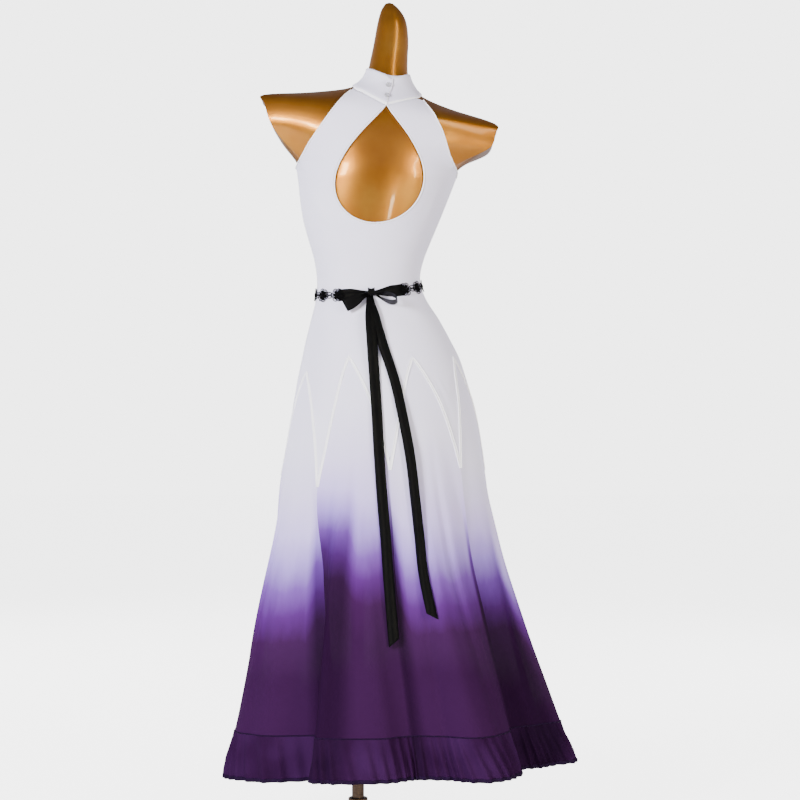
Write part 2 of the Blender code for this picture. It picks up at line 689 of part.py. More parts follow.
def make_bodice(name, face):
    """The front or back: two halves above the keyhole's foot, one piece below it. Returns its edges."""
    first_column = -2 * GORE_COLUMNS if face > 0 else 2 * GORE_COLUMNS
    points, faces = [], []
    middle = middle_rows(first_column, (1.196, 1.165, 1.138, 1.118, 1.100))
    body = [side_gap(line) for line in middle + lower_rows(first_column)]
    numbered = [number_row(points, line) for line in body]
    for above, below in zip(numbered, numbered[1:]):
        stitch_rows(faces, above, below)
    first_side = -face
    halves = {side: upper_half_rows(face, side) for side in (1, -1)}
    for rows in halves.values():
        for line in rows[:len(SIDE_ROW_Z) + 1]:
            line[-1] = line[-1] + (line[-2] - line[-1]).normalized() * SEAM_GAP * 0.6
    # The row through the keyhole's foot is one line, so its middle point is shared.
    foot = number_row(points, list(reversed(halves[first_side][0])) + halves[-first_side][0][1:])
    stitch_rows(faces, foot, numbered[0])
    ends = {first_side: list(reversed(foot[:UPPER_COLUMNS + 1])), -first_side: foot[UPPER_COLUMNS:]}
    edges = {}
    for side, rows in halves.items():
        below = ends[side]
        edges[side] = [below]
        for line in rows[1:]:
            if face < 0:
                above = []
                if side != first_side and first_side in edges:
                    above = [edges[first_side][len(edges[side])][0]]
                above += number_row(points, line[len(above):])
            else:
                above = number_row(points, line)
            order = (above, below) if side == -first_side else (list(reversed(above)), list(reversed(below)))
            stitch_rows(faces, *order)
            edges[side].append(above)
            below = above
    ease_off(points, faces, FORM_CLEARANCE)
    thicken(add_mesh(name, points, faces, "white_stretch"), STRETCH_WALL)
    return {side: [[points[i] for i in line] for line in lines] for side, lines in edges.items()}


def make_collar():
    """The stand collar, with the wearer's left end lapped over the right at the centre back."""
    start, stop, columns, rows = 12.0, -368.0, 38, 2
    grid = []
    for r in range(rows + 1):
        line = []
        for c in range(columns + 1):
            degrees = lerp(start, stop, c / columns)
            facing = max(0.0, math.cos(math.radians(degrees)))
            low = neck_height(degrees) + 0.0008
            high = 1.545 + 0.006 * math.sin(math.radians(degrees)) - 0.017 * facing ** 3
            lap = smooth((-300.0 - degrees) / 36.0)
            offset = CLOTH_GAP + lap * (STRETCH_WALL + 0.0007)
            line.append(neck_point(lerp(high, low, r / rows), degrees, offset))
        grid.append(list(reversed(line)))
    add_sheet("collar", grid, "white_stretch", STRETCH_WALL)


def add_tube(name, points, radius, material, closed=False):
    curve = bpy.data.curves.new(name, "CURVE")
    curve.dimensions = "3D"
    curve.bevel_depth = radius
    curve.bevel_resolution = 1
    curve.use_fill_caps = not closed
    spline = curve.splines.new("POLY")
    spline.points.add(len(points) - 1)
    for slot, point in zip(spline.points, points):
        slot.co = (*point, 1.0)
    spline.use_cyclic_u = closed
    curve.materials.append(MATERIAL[material])
    piece = bpy.data.objects.new(name, curve)
    COLLECTION.objects.link(piece)
    return piece


def beside_edge(edge, cloth, reach):
    """A path that runs beside a cloth edge, in the middle of the wall; cloth holds points inside the edge."""
    path = []
    last = len(edge) - 1
    for i, point in enumerate(edge):
        _, normal, _, _ = FORM.find_nearest(point)
        before = (point - edge[max(0, i - 1)]).normalized()
        after = (edge[min(last, i + 1)] - point).normalized()
        along = (before + after).normalized()
        away = normal.cross(along).normalized()
        if away.dot(cloth[i] - point) > 0.0:
            away = -away
        turn = max(0.6, along.dot(after if i == 0 else before if i == last else after))
        path.append(point + away * reach / turn + normal * STRETCH_WALL / 2.0)
    ease_off(path, list(zip(range(last), range(1, last + 1))), BINDING_RADIUS + 0.0018)
    return path


def make_bindings(back, front):
    radius = BINDING_RADIUS
    reach = radius + 1.6 * SEAM_GAP
    left, right = ([line[0] for line in back[side]] for side in (1, -1))
    left_in, right_in = ([line[2] for line in back[side]] for side in (1, -1))
    edge = list(reversed(left[1:-1])) + [left[0]] + right[1:-1]
    inside = list(reversed(left_in[1:-1])) + [left[0] - Vector((0.0, 0.0, 0.02))] + right_in[1:-1]
    add_tube("keyhole_binding", beside_edge(edge, inside, reach), radius, "white_stretch")
    armpit_row = len(SIDE_ROW_Z)
    for name, side in (("armhole_binding_left", 1), ("armhole_binding_right", -1)):
        back_rows, front_rows = back[side][armpit_row:-1], front[side][armpit_row:-1]
        edge = [line[-1] for line in reversed(back_rows)] + [line[-1] for line in front_rows[1:]]
        inside = [line[-3] for line in reversed(back_rows)] + [line[-3] for line in front_rows[1:]]
        add_tube(name, beside_edge(edge, inside, reach), radius, "white_stretch")


def belt_z(degrees):
    angle = math.radians(degrees)
    return 1.098 - 0.0085 * math.sin(angle) - 0.010 * math.cos(angle)


def belt_arc(degrees):
    """How many metres of belt one degree takes here."""
    section = section_at(belt_z(degrees))
    angle = math.radians(degrees)
    depth = section["back"] if math.cos(angle) > 0.0 else section["front"]
    return math.hypot(section["half"] * math.cos(angle), depth * math.sin(angle)) * math.pi / 180.0


def belt_place(side, degrees, along, up, offset):
    """A point of the belt: so far along and up from the place at these degrees on this side."""
    angle = side * (degrees + along / belt_arc(degrees))
    return skin_point(belt_z(angle) + up, angle, offset)


def flower_angles(side):
    """Flower centres at an even spacing round the waist, from the last one by the ribbon to the front."""
    first = FIRST_FLOWER_DEGREES[side]
    angles = [first]
    total = sum(belt_arc(side * a) for a in range(int(first), 180))
    pitch = total / (FLOWERS_A_SIDE - 0.5)
    degrees, run = first, 0.0
    while len(angles) < FLOWERS_A_SIDE:
        degrees += 0.5
        run += belt_arc(side * degrees) * 0.5
        if run >= pitch:
            angles.append(degrees)
            run -= pitch
    return angles


def make_belt():
    petals, steps = 5, 20
    for name, side in (("belt_lace_left", 1), ("belt_lace_right", -1)):
        points, faces, rings = [], [], []
        for degrees in flower_angles(side):
            centre = len(points)
            points.append(belt_place(side, degrees, 0.0, 0.0, BELT_GAP + FLOWER_RISE))
            for k in range(steps):
                angle = 2.0 * math.pi * k / steps
                reach = FLOWER_RADIUS * (0.86 + 0.14 * math.cos(petals * angle))
                along, up = reach * math.cos(angle), reach * math.sin(angle)
                points.append(belt_place(side, degrees, along, up, BELT_GAP))
            ring = list(range(centre + 1, centre + 1 + steps))
            rings.append(ring)
            faces += [(centre, ring[(k + 1) % steps], ring[k])[::side] for k in range(steps)]
        for here, there in zip(rings, rings[1:]):
            for a, b, c, d in ((1, 2, 8, 9), (18, 19, 11, 12)):
                faces.append((here[a], there[d], there[c], here[b])[::-side])
        thicken(add_mesh(name, points, faces, "black_guipure", 30.0), LACE_WALL)


def cloth_tree(names):
    graph = bpy.context.evaluated_depsgraph_get()
    points, faces = [], []
    for name in names:
        mesh = bpy.data.objects[name].evaluated_get(graph).to_mesh()
        start = len(points)
        points += [vertex.co.copy() for vertex in mesh.vertices]
        faces += [tuple(start + i for i in face.vertices) for face in mesh.polygons]
    return BVHTree.FromPolygons(points, faces)


def smooth_path(path, count):
    """Evenly numbered points on a smooth curve through a short table of points."""
    last = len(path) - 1
    points = []
    for i in range(count):
        place = i * last / (count - 1)
        row = min(last - 1, int(place))
        t = place - row
        a, b, c, d = (path[max(0, min(last, row + step))] for step in (-1, 0, 1, 2))
        points.append(tuple(0.5 * (2 * q + (r - p) * t + (2 * p - 5 * q + 4 * r - u) * t * t
                                   + (3 * q - p - 3 * r + u) * t ** 3) for p, q, r, u in zip(a, b, c, d)))
    return points


def make_tail(name, path, cloth, extra, slant):
    """A ribbon tail that hangs down over the hip and skirt, kept off them along its whole length."""
    count = 18
    middle = smooth_path(path, count)
    rows = []
    for i, (x, z) in enumerate(middle):
        before, after = middle[max(0, i - 1)], middle[min(count - 1, i + 1)]
        along = Vector((after[0] - before[0], 0.0, after[1] - before[1])).normalized()
        across = Vector((-along.z, 0.0, along.x))
        cut = slant * (1.0 if i == count - 1 else 0.0)
        rows.append([Vector((x, 0.0, z)) + across * RIBBON_WIDTH * share + along * cut * share
                     for share in (-0.5, 0.0, 0.5)])
    depths = []
    for row in rows:
        samples = [row[0].lerp(row[2], k / 6.0) for k in range(7)]
        hits = [cloth.ray_cast(Vector((p.x, 1.0, p.z)), Vector((0.0, -1.0, 0.0)))[0] for p in samples]
        depths.append(max(hit.y for hit in hits if hit))
    for _ in range(60):
        for i in range(1, count - 1):
            depths[i] = max(depths[i], (depths[i - 1] + depths[i + 1]) / 2.0)
    grid = []
    for row, depth in zip(rows, depths):
        lift = TAIL_LIFT + extra * smooth((row[1].z - 0.93) / 0.06)
        grid.append([Vector((p.x, depth + lift, p.z)) for p in reversed(row)])
    add_sheet(name, grid, "black_satin", TRIM_WALL)


def make_loop(name, start, along, out, across, length, swell):
    """One loop of the bow: a closed ribbon wall, teardrop in section, pinched at the knot."""
    steps = 16
    grid = []
    for share in (-0.5, 0.0, 0.5):
        line = []
        for k in range(steps):
            angle = 2.0 * math.pi * k / steps
            far = (1.0 - math.cos(angle)) / 2.0
            width = lerp(0.012, RIBBON_WIDTH * 0.9, smooth(far * 1.6))
            line.append(start + along * length * far + out * swell * math.sin(angle) * far ** 0.5
                        + across * width * share)
        grid.append(line)
    add_sheet(name, grid, "black_satin", TRIM_WALL * 0.9, closed=True)


def make_bow():
    for name, side in (("ribbon_left", 1), ("ribbon_right", -1)):
        last = flower_angles(side)[0]
        stop = last - (FLOWER_RADIUS + 0.0012) / belt_arc(side * last)
        grid = []
        for share in (0.5, 0.0, -0.5):
            line = []
            for c in range(7):
                degrees = lerp(side * KNOT_DEGREES + 0.25, stop, c / 6.0)
                width = lerp(0.015, RIBBON_WIDTH * 0.8, c / 6.0)
                line.append(belt_place(side, degrees, 0.0, width * share, BELT_GAP - 0.0002))
            grid.append(line[::side])
        add_sheet(name, grid, "black_satin", TRIM_WALL)
    knot_centre = belt_place(1, KNOT_DEGREES, 0.0, 0.0, BELT_GAP + TRIM_WALL + KNOT_SIZE[1] / 2.0 + KNOT_LIFT)
    bpy.ops.mesh.primitive_cube_add(size=1.0, location=knot_centre)
    knot = bpy.context.object
    knot.name = "bow_knot"
    knot.data.transform(Matrix.Diagonal((*KNOT_SIZE, 1.0)))
    knot.data.materials.append(MATERIAL["black_satin"])
    for owner in list(knot.users_collection):
        owner.objects.unlink(knot)
    COLLECTION.objects.link(knot)
    bevel = knot.modifiers.new("soft_edges", "BEVEL")
    bevel.width = 0.0045
    bevel.segments = 2
    side_reach = KNOT_SIZE[0] / 2.0 + 0.0022
    droop = Vector((0.0, 0.0, -0.002))
    left_way = Vector((0.92, 0.0, -0.39)).normalized()
    make_loop("bow_loop_left", knot_centre + Vector((side_reach, -0.001, -0.002)), left_way,
              Vector((0.0, 1.0, 0.0)), Vector((-left_way.z, 0.0, left_way.x)), 0.050, 0.0050)
    right_way = Vector((-0.985, 0.0, -0.13)).normalized()
    make_loop("bow_loop_right", knot_centre + Vector((-side_reach - 0.0012, 0.008, 0.0)) + droop, right_way,
              Vector((-right_way.z, 0.0, right_way.x)), Vector((0.0, 1.0, 0.0)), 0.044, 0.0095)
    cloth = cloth_tree(["bodice_back"] + [f"gore_{i}" for i in (1, 2, 7, 8)])
    make_tail("bow_tail_right", TAIL_RIGHT, cloth, 0.0, -0.016)
    make_tail("bow_tail_left", TAIL_LEFT, cloth, 0.0019, 0.016)


def make_buttons():
    collar = cloth_tree(["collar"])
    for name, x, z in BUTTONS:
        near, normal, _, _ = collar.ray_cast(Vector((x, 1.0, z)), Vector((0.0, -1.0, 0.0)))
        centre = near + normal * (0.0007 + BUTTON_THICK / 2.0)
        shape = bmesh.new()
        bmesh.ops.create_cone(shape, cap_ends=True, segments=20, radius1=BUTTON_RADIUS,
                              radius2=BUTTON_RADIUS * 0.86, depth=BUTTON_THICK)
        turn = Vector((0.0, 0.0, 1.0)).rotation_difference(normal).to_matrix().to_4x4()
        shape.transform(Matrix.Translation(centre) @ turn)
        mesh = bpy.data.meshes.new(name)
        shape.to_mesh(mesh)
        shape.free()
        mesh.materials.append(MATERIAL["clear_acrylic"])
        COLLECTION.objects.link(bpy.data.objects.new(name, mesh))


def make_all():
    make_stand()
    make_form()
    back = make_bodice("bodice_back", 1)
    front = make_bodice("bodice_front", -1)
    make_gores()
    make_flounces()
    make_collar()
    make_buttons()
    make_bindings(back, front)
    make_belt()
    make_bow()


clear_scene()
COLLECTION = bpy.data.collections.new("ballroom_dress")
bpy.context.scene.collection.children.link(COLLECTION)
MATERIAL = {name: make_material(name) for name in MATERIALS}
make_all()
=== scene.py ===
"""A ballroom dance dress on a limbless dress form, seen from behind in soft studio light.

Metres, +Z up. The dress shows its back to +Y, and the wearer's left is at +X. Angles round the body start at
the centre back and grow towards the wearer's left.
"""

import math

import bpy
from mathutils import Matrix, Vector
from mathutils.bvhtree import BVHTree


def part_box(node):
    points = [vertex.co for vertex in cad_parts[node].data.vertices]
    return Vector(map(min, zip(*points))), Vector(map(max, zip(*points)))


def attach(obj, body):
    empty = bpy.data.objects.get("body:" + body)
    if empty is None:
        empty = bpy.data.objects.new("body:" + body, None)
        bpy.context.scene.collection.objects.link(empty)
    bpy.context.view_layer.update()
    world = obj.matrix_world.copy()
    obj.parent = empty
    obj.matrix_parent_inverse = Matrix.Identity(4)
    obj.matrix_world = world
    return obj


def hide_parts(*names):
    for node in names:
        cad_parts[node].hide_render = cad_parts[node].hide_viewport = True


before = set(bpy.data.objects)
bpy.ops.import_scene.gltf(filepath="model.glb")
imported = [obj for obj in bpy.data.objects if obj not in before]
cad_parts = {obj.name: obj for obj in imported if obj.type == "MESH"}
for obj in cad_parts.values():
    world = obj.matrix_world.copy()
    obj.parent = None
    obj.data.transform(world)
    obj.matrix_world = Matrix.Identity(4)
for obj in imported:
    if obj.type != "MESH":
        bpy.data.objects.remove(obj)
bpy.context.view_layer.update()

# The view: square on to the dress's back from four metres, the lens at the height of the hips.
camera_data = bpy.data.cameras.new("camera")
camera_data.lens = 87.8
camera = bpy.data.objects.new("camera", camera_data)
camera.location = (-0.0861, 4.0, 0.874)
camera.rotation_euler = (math.radians(90.0), 0.0, math.radians(180.0))
bpy.context.scene.collection.objects.link(camera)
bpy.context.scene.camera = camera

# Studio light: a cool softbox on the wearer's left, a weaker warm one on the right and one on each side of
# the front, flagged from the form's gloss. Small lamps and tall strips give that gloss its highlights.
LIGHT_COLUMNS = ("name", "place", "width", "height", "watts", "mirrored", "colour")
LIGHTS = (
    ("key_softbox", (2.5, 2.8, 2.1), 1.2, 1.0, 330.0, False, (0.94, 0.95, 1.0)),
    ("fill_softbox", (-2.6, 2.4, 1.5), 1.2, 1.2, 95.0, False, (1.0, 0.95, 0.91)),
    ("highlight_lamp", (2.05, 3.0, 1.45), 0.40, 0.40, 42.0, True, (1.0, 0.94, 0.72)),
    ("strip_softbox", (-2.4, 2.8, 1.25), 0.13, 1.5, 30.0, True, (1.0, 0.92, 0.62)),
    ("upper_strip", (-2.1, 2.6, 3.5), 0.30, 1.5, 14.0, True, (1.0, 0.92, 0.64)),
    ("low_lamp", (-1.25, 3.35, 0.28), 0.22, 0.15, 6.0, True, (1.0, 0.93, 0.66)),
    ("front_softbox_left", (2.4, -3.0, 2.4), 1.6, 1.6, 210.0, False, (1.0, 0.98, 0.96)),
    ("front_softbox_right", (-2.6, -2.6, 1.8), 1.6, 1.6, 110.0, False, (0.95, 0.97, 1.0)),
)
for row in LIGHTS:
    light = dict(zip(LIGHT_COLUMNS, row))
    lamp_data = bpy.data.lights.new(light["name"], "AREA")
    lamp_data.shape = "RECTANGLE"
    lamp_data.size = light["width"]
    lamp_data.size_y = light["height"]
    lamp_data.energy = light["watts"]
    lamp_data.color = light["colour"]
    lamp = bpy.data.objects.new(light["name"], lamp_data)
    lamp.location = light["place"]
    lamp.visible_glossy = light["mirrored"]
    lamp.rotation_euler = (Vector((-0.06, 0.0, 1.0)) - lamp.location).to_track_quat("-Z", "Y").to_euler()
    bpy.context.scene.collection.objects.link(lamp)


def linear(hex_colour):
    """An sRGB colour as linear red, green, blue and alpha."""
    parts = [int(hex_colour[i:i + 2], 16) / 255.0 for i in (1, 3, 5)]
    return tuple(p / 12.92 if p <= 0.04045 else ((p + 0.055) / 1.055) ** 2.4 for p in parts) + (1.0,)


def new_material(name, sockets):
    material = bpy.data.materials.new(name)
    material.use_nodes = True
    shader = material.node_tree.nodes["Principled BSDF"]
    for key, value in sockets.items():
        shader.inputs[key].default_value = value
    return material, shader


def add_node(material, kind, inputs, stops=(), **settings):
    """Adds a node. An input is a value or the socket that feeds it; stops are a ramp's places and colours."""
    node = material.node_tree.nodes.new(kind)
    for key, value in settings.items():
        setattr(node, key, value)
    for key, value in inputs.items():
        if isinstance(value, bpy.types.NodeSocket):
            material.node_tree.links.new(value, node.inputs[key])
        else:
            node.inputs[key].default_value = value
    if stops:
        elements = node.color_ramp.elements
        while len(elements) < len(stops):
            elements.new(0.5)
        for element, (place, colour) in zip(elements, stops):
            element.position = place
            element.color = linear(colour)
    return node


def feed(material, socket, target):
    material.node_tree.links.new(socket, target)


def laid_pattern(material, kind, inputs, stretch=(1.0, 1.0, 1.0), **settings):
    """Lays a texture over a piece in metres, squeezed along x, y and z, and returns its strength there."""
    spot = add_node(material, "ShaderNodeTexCoord", {})
    laid = add_node(material, "ShaderNodeMapping", {"Vector": spot.outputs["Object"], "Scale": stretch})
    texture = add_node(material, kind, {"Vector": laid.outputs["Vector"], **inputs}, **settings)
    return texture.outputs["Distance" if kind == "ShaderNodeTexVoronoi" else "Fac"]


def paint(material, shader, strength, stops=(), raised=()):
    """Colours a surface by a pattern's strength, and raises it by a depth and distance."""
    if stops:
        tone = add_node(material, "ShaderNodeValToRGB", {"Fac": strength}, stops)
        feed(material, tone.outputs["Color"], shader.inputs["Base Color"])
    if raised:
        depth, distance = raised
        inputs = {"Height": strength, "Strength": depth, "Distance": distance}
        relief = add_node(material, "ShaderNodeBump", inputs)
        feed(material, relief.outputs["Normal"], shader.inputs["Normal"])


# The studio: a white backdrop behind the dress, and round it walls that are paler at eye level than overhead,
# which the gloss of the form and the ribbon reflects.
BACKDROP_STRENGTH = 4.2
world = bpy.data.worlds.new("studio_surround")
world.use_nodes = True
bpy.context.scene.world = world
walls = world.node_tree.nodes["Background"]
looking = add_node(world, "ShaderNodeTexCoord", {})
looking_parts = add_node(world, "ShaderNodeSeparateXYZ", {"Vector": looking.outputs["Generated"]})
looking_up = add_node(world, "ShaderNodeMath", {0: looking_parts.outputs["Z"], 1: 0.5, 2: 0.5},
                      operation="MULTIPLY_ADD")
WALL_TONES = ((0.25, "#8C8C92"), (0.50, "#C0C0C6"), (0.63, "#B4B4BA"), (0.76, "#74747A"), (1.0, "#56565C"))
wall_tone = add_node(world, "ShaderNodeValToRGB", {"Fac": looking_up.outputs["Value"]}, WALL_TONES)
feed(world, wall_tone.outputs["Color"], walls.inputs["Color"])
backdrop = add_node(world, "ShaderNodeBackground", {
    "Color": linear("#FFFFFF"), "Strength": BACKDROP_STRENGTH})
seen = add_node(world, "ShaderNodeLightPath", {})
surround = add_node(world, "ShaderNodeMixShader", {
    "Fac": seen.outputs["Is Camera Ray"], 1: walls.outputs["Background"], 2: backdrop.outputs["Background"]})
feed(world, surround.outputs["Shader"], world.node_tree.nodes["World Output"].inputs["Surface"])

# The studio floor: a pale matt sheet, larger than any view of the dress, lit up to the backdrop's white.
FLOOR_HALF = 14.0
floor_material, floor_shader = new_material("pale_matt_floor", {
    "Base Color": linear("#BDBDBD"), "Roughness": 0.85, "Emission Color": linear("#FFFFFF")})
floor_seen = add_node(floor_material, "ShaderNodeLightPath", {})
floor_lift = add_node(floor_material, "ShaderNodeMath", {0: floor_seen.outputs["Is Camera Ray"], 1: 4.0},
                      operation="MULTIPLY")
feed(floor_material, floor_lift.outputs["Value"], floor_shader.inputs["Emission Strength"])
floor_grain = laid_pattern(floor_material, "ShaderNodeTexNoise", {"Scale": 3.0})
paint(floor_material, floor_shader, floor_grain, ((0.0, "#BABABA"), (1.0, "#C0C0C0")))
floor_mesh = bpy.data.meshes.new("studio_floor")
floor_corners = [(x * FLOOR_HALF, y * FLOOR_HALF, 0.0) for x, y in ((-1, -1), (1, -1), (1, 1), (-1, 1))]
floor_mesh.from_pydata(floor_corners, [], [(0, 1, 2, 3)])
floor_mesh.materials.append(floor_material)
floor = bpy.data.objects.new("studio_floor", floor_mesh)
bpy.context.scene.collection.objects.link(floor)

# The dress form: a limbless moulded torso with a tall neck finial and cut shoulders, sprayed with a glossy
# metallic gold coat. It stands on the pole's flange and carries the dress.
FORM_CUT_Z = 0.770
FORM_TRIM = 0.0015
FORM_COLUMNS = 96
FORM_STEPS = 5
STUB_FILL = 0.012
SECTION_COLUMNS = ("z", "cx", "cy", "half", "back", "front", "end", "stub", "roll", "steps")
SECTIONS = (
    (0.120, -0.080, 0.000, 0.326, 0.248, 0.250, 0.00, 0.0, 0.0, 1),
    (0.218, -0.075, 0.000, 0.306, 0.236, 0.236, 0.00, 0.0, 0.0, 1),
    (0.300, -0.069, 0.000, 0.288, 0.222, 0.222, 0.00, 0.0, 0.0, 1),
    (0.382, -0.062, 0.000, 0.270, 0.208, 0.206, 0.00, 0.0, 0.0, 1),
    (0.464, -0.057, 0.000, 0.252, 0.192, 0.188, 0.00, 0.0, 0.0, 1),
    (0.546, -0.053, 0.000, 0.234, 0.181, 0.168, 0.00, 0.0, 0.0, 1),
    (0.628, -0.053, 0.000, 0.219, 0.162, 0.148, 0.00, 0.0, 0.0, 1),
    (0.710, -0.052, 0.000, 0.207, 0.145, 0.129, 0.00, 0.0, 0.0, 1),
    (0.770, -0.053, 0.000, 0.197, 0.133, 0.117, 0.00, 0.0, 0.0, 1),
    (0.820, -0.053, 0.000, 0.189, 0.126, 0.109, 0.00, 0.0, 0.0, 1),
    (0.874, -0.052, 0.000, 0.179, 0.119, 0.102, 0.00, 0.0, 0.0, 1),
    (0.920, -0.049, 0.000, 0.168, 0.113, 0.099, 0.00, 0.0, 0.0, 1),
    (0.956, -0.047, 0.000, 0.158, 0.107, 0.097, 0.00, 0.0, 0.0, 1),
    (0.997, -0.041, 0.000, 0.1435, 0.098, 0.095, 0.00, 0.0, 0.0, 1),
    (1.038, -0.035, 0.000, 0.127, 0.086, 0.092, 0.00, 0.0, 0.0, 2),
    (1.079, -0.0265, 0.000, 0.109, 0.076, 0.088, 0.00, 0.0, 0.0, 2),
    (1.120, -0.0215, 0.000, 0.1015, 0.070, 0.086, 0.00, 0.0, 0.0, 2),
    (1.161, -0.0225, 0.000, 0.108, 0.072, 0.088, 0.00, 0.0, 0.0, 2),
    (1.202, -0.0246, 0.000, 0.122, 0.078, 0.094, 0.00, 0.0, 0.0, 1),
    (1.243, -0.0277, 0.000, 0.136, 0.085, 0.105, 0.00, 0.0, 0.0, 1),
    (1.284, -0.0328, 0.000, 0.1475, 0.092, 0.117, 0.00, 0.0, 0.0, 1),
    (1.325, -0.0385, 0.000, 0.1575, 0.098, 0.118, 0.00, 0.0, 0.0, 1),
    (1.352, -0.0400, 0.000, 0.167, 0.101, 0.112, 0.03, 0.3, 2.5, 1),
    (1.381, -0.0360, 0.000, 0.194, 0.102, 0.100, 0.045, 0.8, 5.5, 1),
    (1.411, -0.0400, 0.000, 0.219, 0.101, 0.088, 0.055, 1.0, 6.5, 1),
    (1.445, -0.0430, 0.000, 0.234, 0.096, 0.074, 0.052, 1.0, 7.0, 1),
    (1.465, -0.0430, 0.000, 0.2375, 0.087, 0.062, 0.040, 1.0, 7.0, 1),
    (1.484, -0.0480, -0.002, 0.152, 0.074, 0.056, 0.020, 0.6, 7.0, 1),
    (1.500, -0.0560, -0.003, 0.088, 0.062, 0.055, 0.01, 0.2, 7.0, 1),
    (1.516, -0.0600, -0.004, 0.060, 0.053, 0.054, 0.00, 0.0, 7.0, 1),
    (1.543, -0.0610, -0.005, 0.0440, 0.045, 0.047, 0.00, 0.0, 5.0, 1),
    (1.575, -0.0640, -0.006, 0.0395, 0.040, 0.041, 0.00, 0.0, 2.0, 1),
    (1.608, -0.0680, -0.008, 0.0370, 0.036, 0.037, 0.00, 0.0, 0.0, 1),
    (1.641, -0.0697, -0.009, 0.0328, 0.031, 0.031, 0.00, 0.0, 0.0, 1),
    (1.661, -0.0690, -0.010, 0.0275, 0.025, 0.025, 0.00, 0.0, 0.0, 1),
    (1.676, -0.0665, -0.010, 0.0200, 0.018, 0.018, 0.00, 0.0, 0.0, 1),
    (1.688, -0.0640, -0.010, 0.0100, 0.009, 0.009, 0.00, 0.0, 0.0, 1),
)


def row_dict(columns, row):
    return dict(zip(columns, row))


SECTION_ROWS = [row_dict(SECTION_COLUMNS, row) for row in SECTIONS]


def lerp(a, b, t):
    return a + (b - a) * t


def smooth(t):
    t = max(0.0, min(1.0, t))
    return t * t * (3.0 - 2.0 * t)


def blended_section(row, t):
    """The section a fraction t of the way from one table row to the next, on a smooth curve."""
    last = len(SECTION_ROWS) - 1
    rows = [SECTION_ROWS[max(0, min(last, row + step))] for step in (-1, 0, 1, 2)]
    section = {}
    for key in SECTION_COLUMNS:
        a, b, c, d = (item[key] for item in rows)
        slope_in = (c - a) / 2.0
        slope_out = (d - b) / 2.0
        t2 = t * t
        t3 = t2 * t
        section[key] = ((2 * t3 - 3 * t2 + 1) * b + (t3 - 2 * t2 + t) * slope_in
                        + (3 * t2 - 2 * t3) * c + (t3 - t2) * slope_out)
    return section


def section_at(z):
    for row in range(len(SECTION_ROWS) - 1):
        if z <= SECTION_ROWS[row + 1]["z"]:
            break
    low = SECTION_ROWS[row]["z"]
    high = SECTION_ROWS[row + 1]["z"]
    section = blended_section(row, (z - low) / (high - low))
    section["z"] = z
    return section


def section_point(section, degrees, push=0.0):
    """A point on a section: an ellipse low down, and towards the shoulders a lozenge with cut ends."""
    angle = math.radians(degrees)
    depth = section["back"] if math.cos(angle) >= 0.0 else section["front"]
    x = section["half"] * math.sin(angle)
    y = depth * math.cos(angle)
    if section["stub"] > 0.0:
        folded = math.degrees(math.asin(min(1.0, abs(math.sin(angle)))))
        side = math.copysign(1.0, math.sin(angle))
        face = math.copysign(1.0, math.cos(angle))
        along = min(1.0, folded / 60.0)
        if folded <= 60.0:
            stub_y = section["end"] + (depth - section["end"]) * math.cos(along * math.pi / 2.0) ** 1.2
        else:
            stub_y = section["end"] * (90.0 - folded) / 30.0
        x = lerp(x, side * section["half"] * along ** 0.95, section["stub"])
        y = lerp(y, face * stub_y, section["stub"])
    reach = math.hypot(x, y)
    scale = (reach + push) / reach
    point = Vector((x * scale, y * scale, 0.0))
    point = Matrix.Rotation(math.radians(-section["roll"]), 3, "Y") @ point
    return point + Vector((section["cx"], section["cy"], section["z"]))


def body_mesh(columns, push, steps):
    rows = []
    for row in range(len(SECTION_ROWS) - 1):
        if SECTION_ROWS[row]["z"] >= FORM_CUT_Z:
            rows += [blended_section(row, step / steps) for step in range(steps)]
    rows.append(SECTION_ROWS[-1])
    points = [section_point(row, 360.0 * c / columns, push) for row in rows for c in range(columns)]
    return points, grid_faces(len(rows), columns, True)


def grid_faces(rows, columns, closed=False):
    """Quads between rows of points that run the same way; closed joins each row's end to its start."""
    faces = []
    for r in range(rows - 1):
        for c in range(columns if closed else columns - 1):
            d = (c + 1) % columns
            faces.append((r * columns + c, r * columns + d, (r + 1) * columns + d, (r + 1) * columns + c))
    return faces


def add_piece(name, points, faces, material, slot, nodes=(), sharp=50.0):
    """A piece of the object that takes the place of these solids."""
    mesh = bpy.data.meshes.new(name)
    mesh.from_pydata([tuple(point) for point in points], [], faces)
    mesh.materials.append(material)
    mesh.shade_smooth()
    mesh.set_sharp_from_angle(angle=math.radians(sharp))
    piece = bpy.data.objects.new(name, mesh)
    bpy.context.scene.collection.objects.link(piece)
    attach(piece, "root")
    if nodes:
        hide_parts(*nodes)
    return piece


# Metallic lacquer sprayed on a moulded shell: deep and warm, with a clear coat's soft highlights, a slightly
# cloudy tone and a faint orange peel.
gold, gold_shader = new_material("gold_lacquer_on_moulded_shell", {
    "Base Color": linear("#C8822E"), "Metallic": 0.92, "Roughness": 0.31, "Coat Weight": 0.4,
    "Coat Roughness": 0.06})
gold_cloud = laid_pattern(gold, "ShaderNodeTexNoise", {"Scale": 9.0, "Detail": 4.0})
paint(gold, gold_shader, gold_cloud, ((0.25, "#B46E22"), (0.55, "#C8822E"), (0.8, "#DA9A3E")))
gold_peel = laid_pattern(gold, "ShaderNodeTexNoise", {"Scale": 260.0})
paint(gold, gold_shader, gold_peel, raised=(0.12, 0.0004))
form_points, form_faces = body_mesh(FORM_COLUMNS, -FORM_TRIM, FORM_STEPS)
for point in form_points:
    fuller = STUB_FILL * math.exp(-((point.z - 1.400) / 0.025) ** 2) * smooth((-0.190 - point.x) / 0.05)
    point += Vector((-0.7, 0.0, -0.7)) * fuller
form_faces = [face[::-1] for face in form_faces]
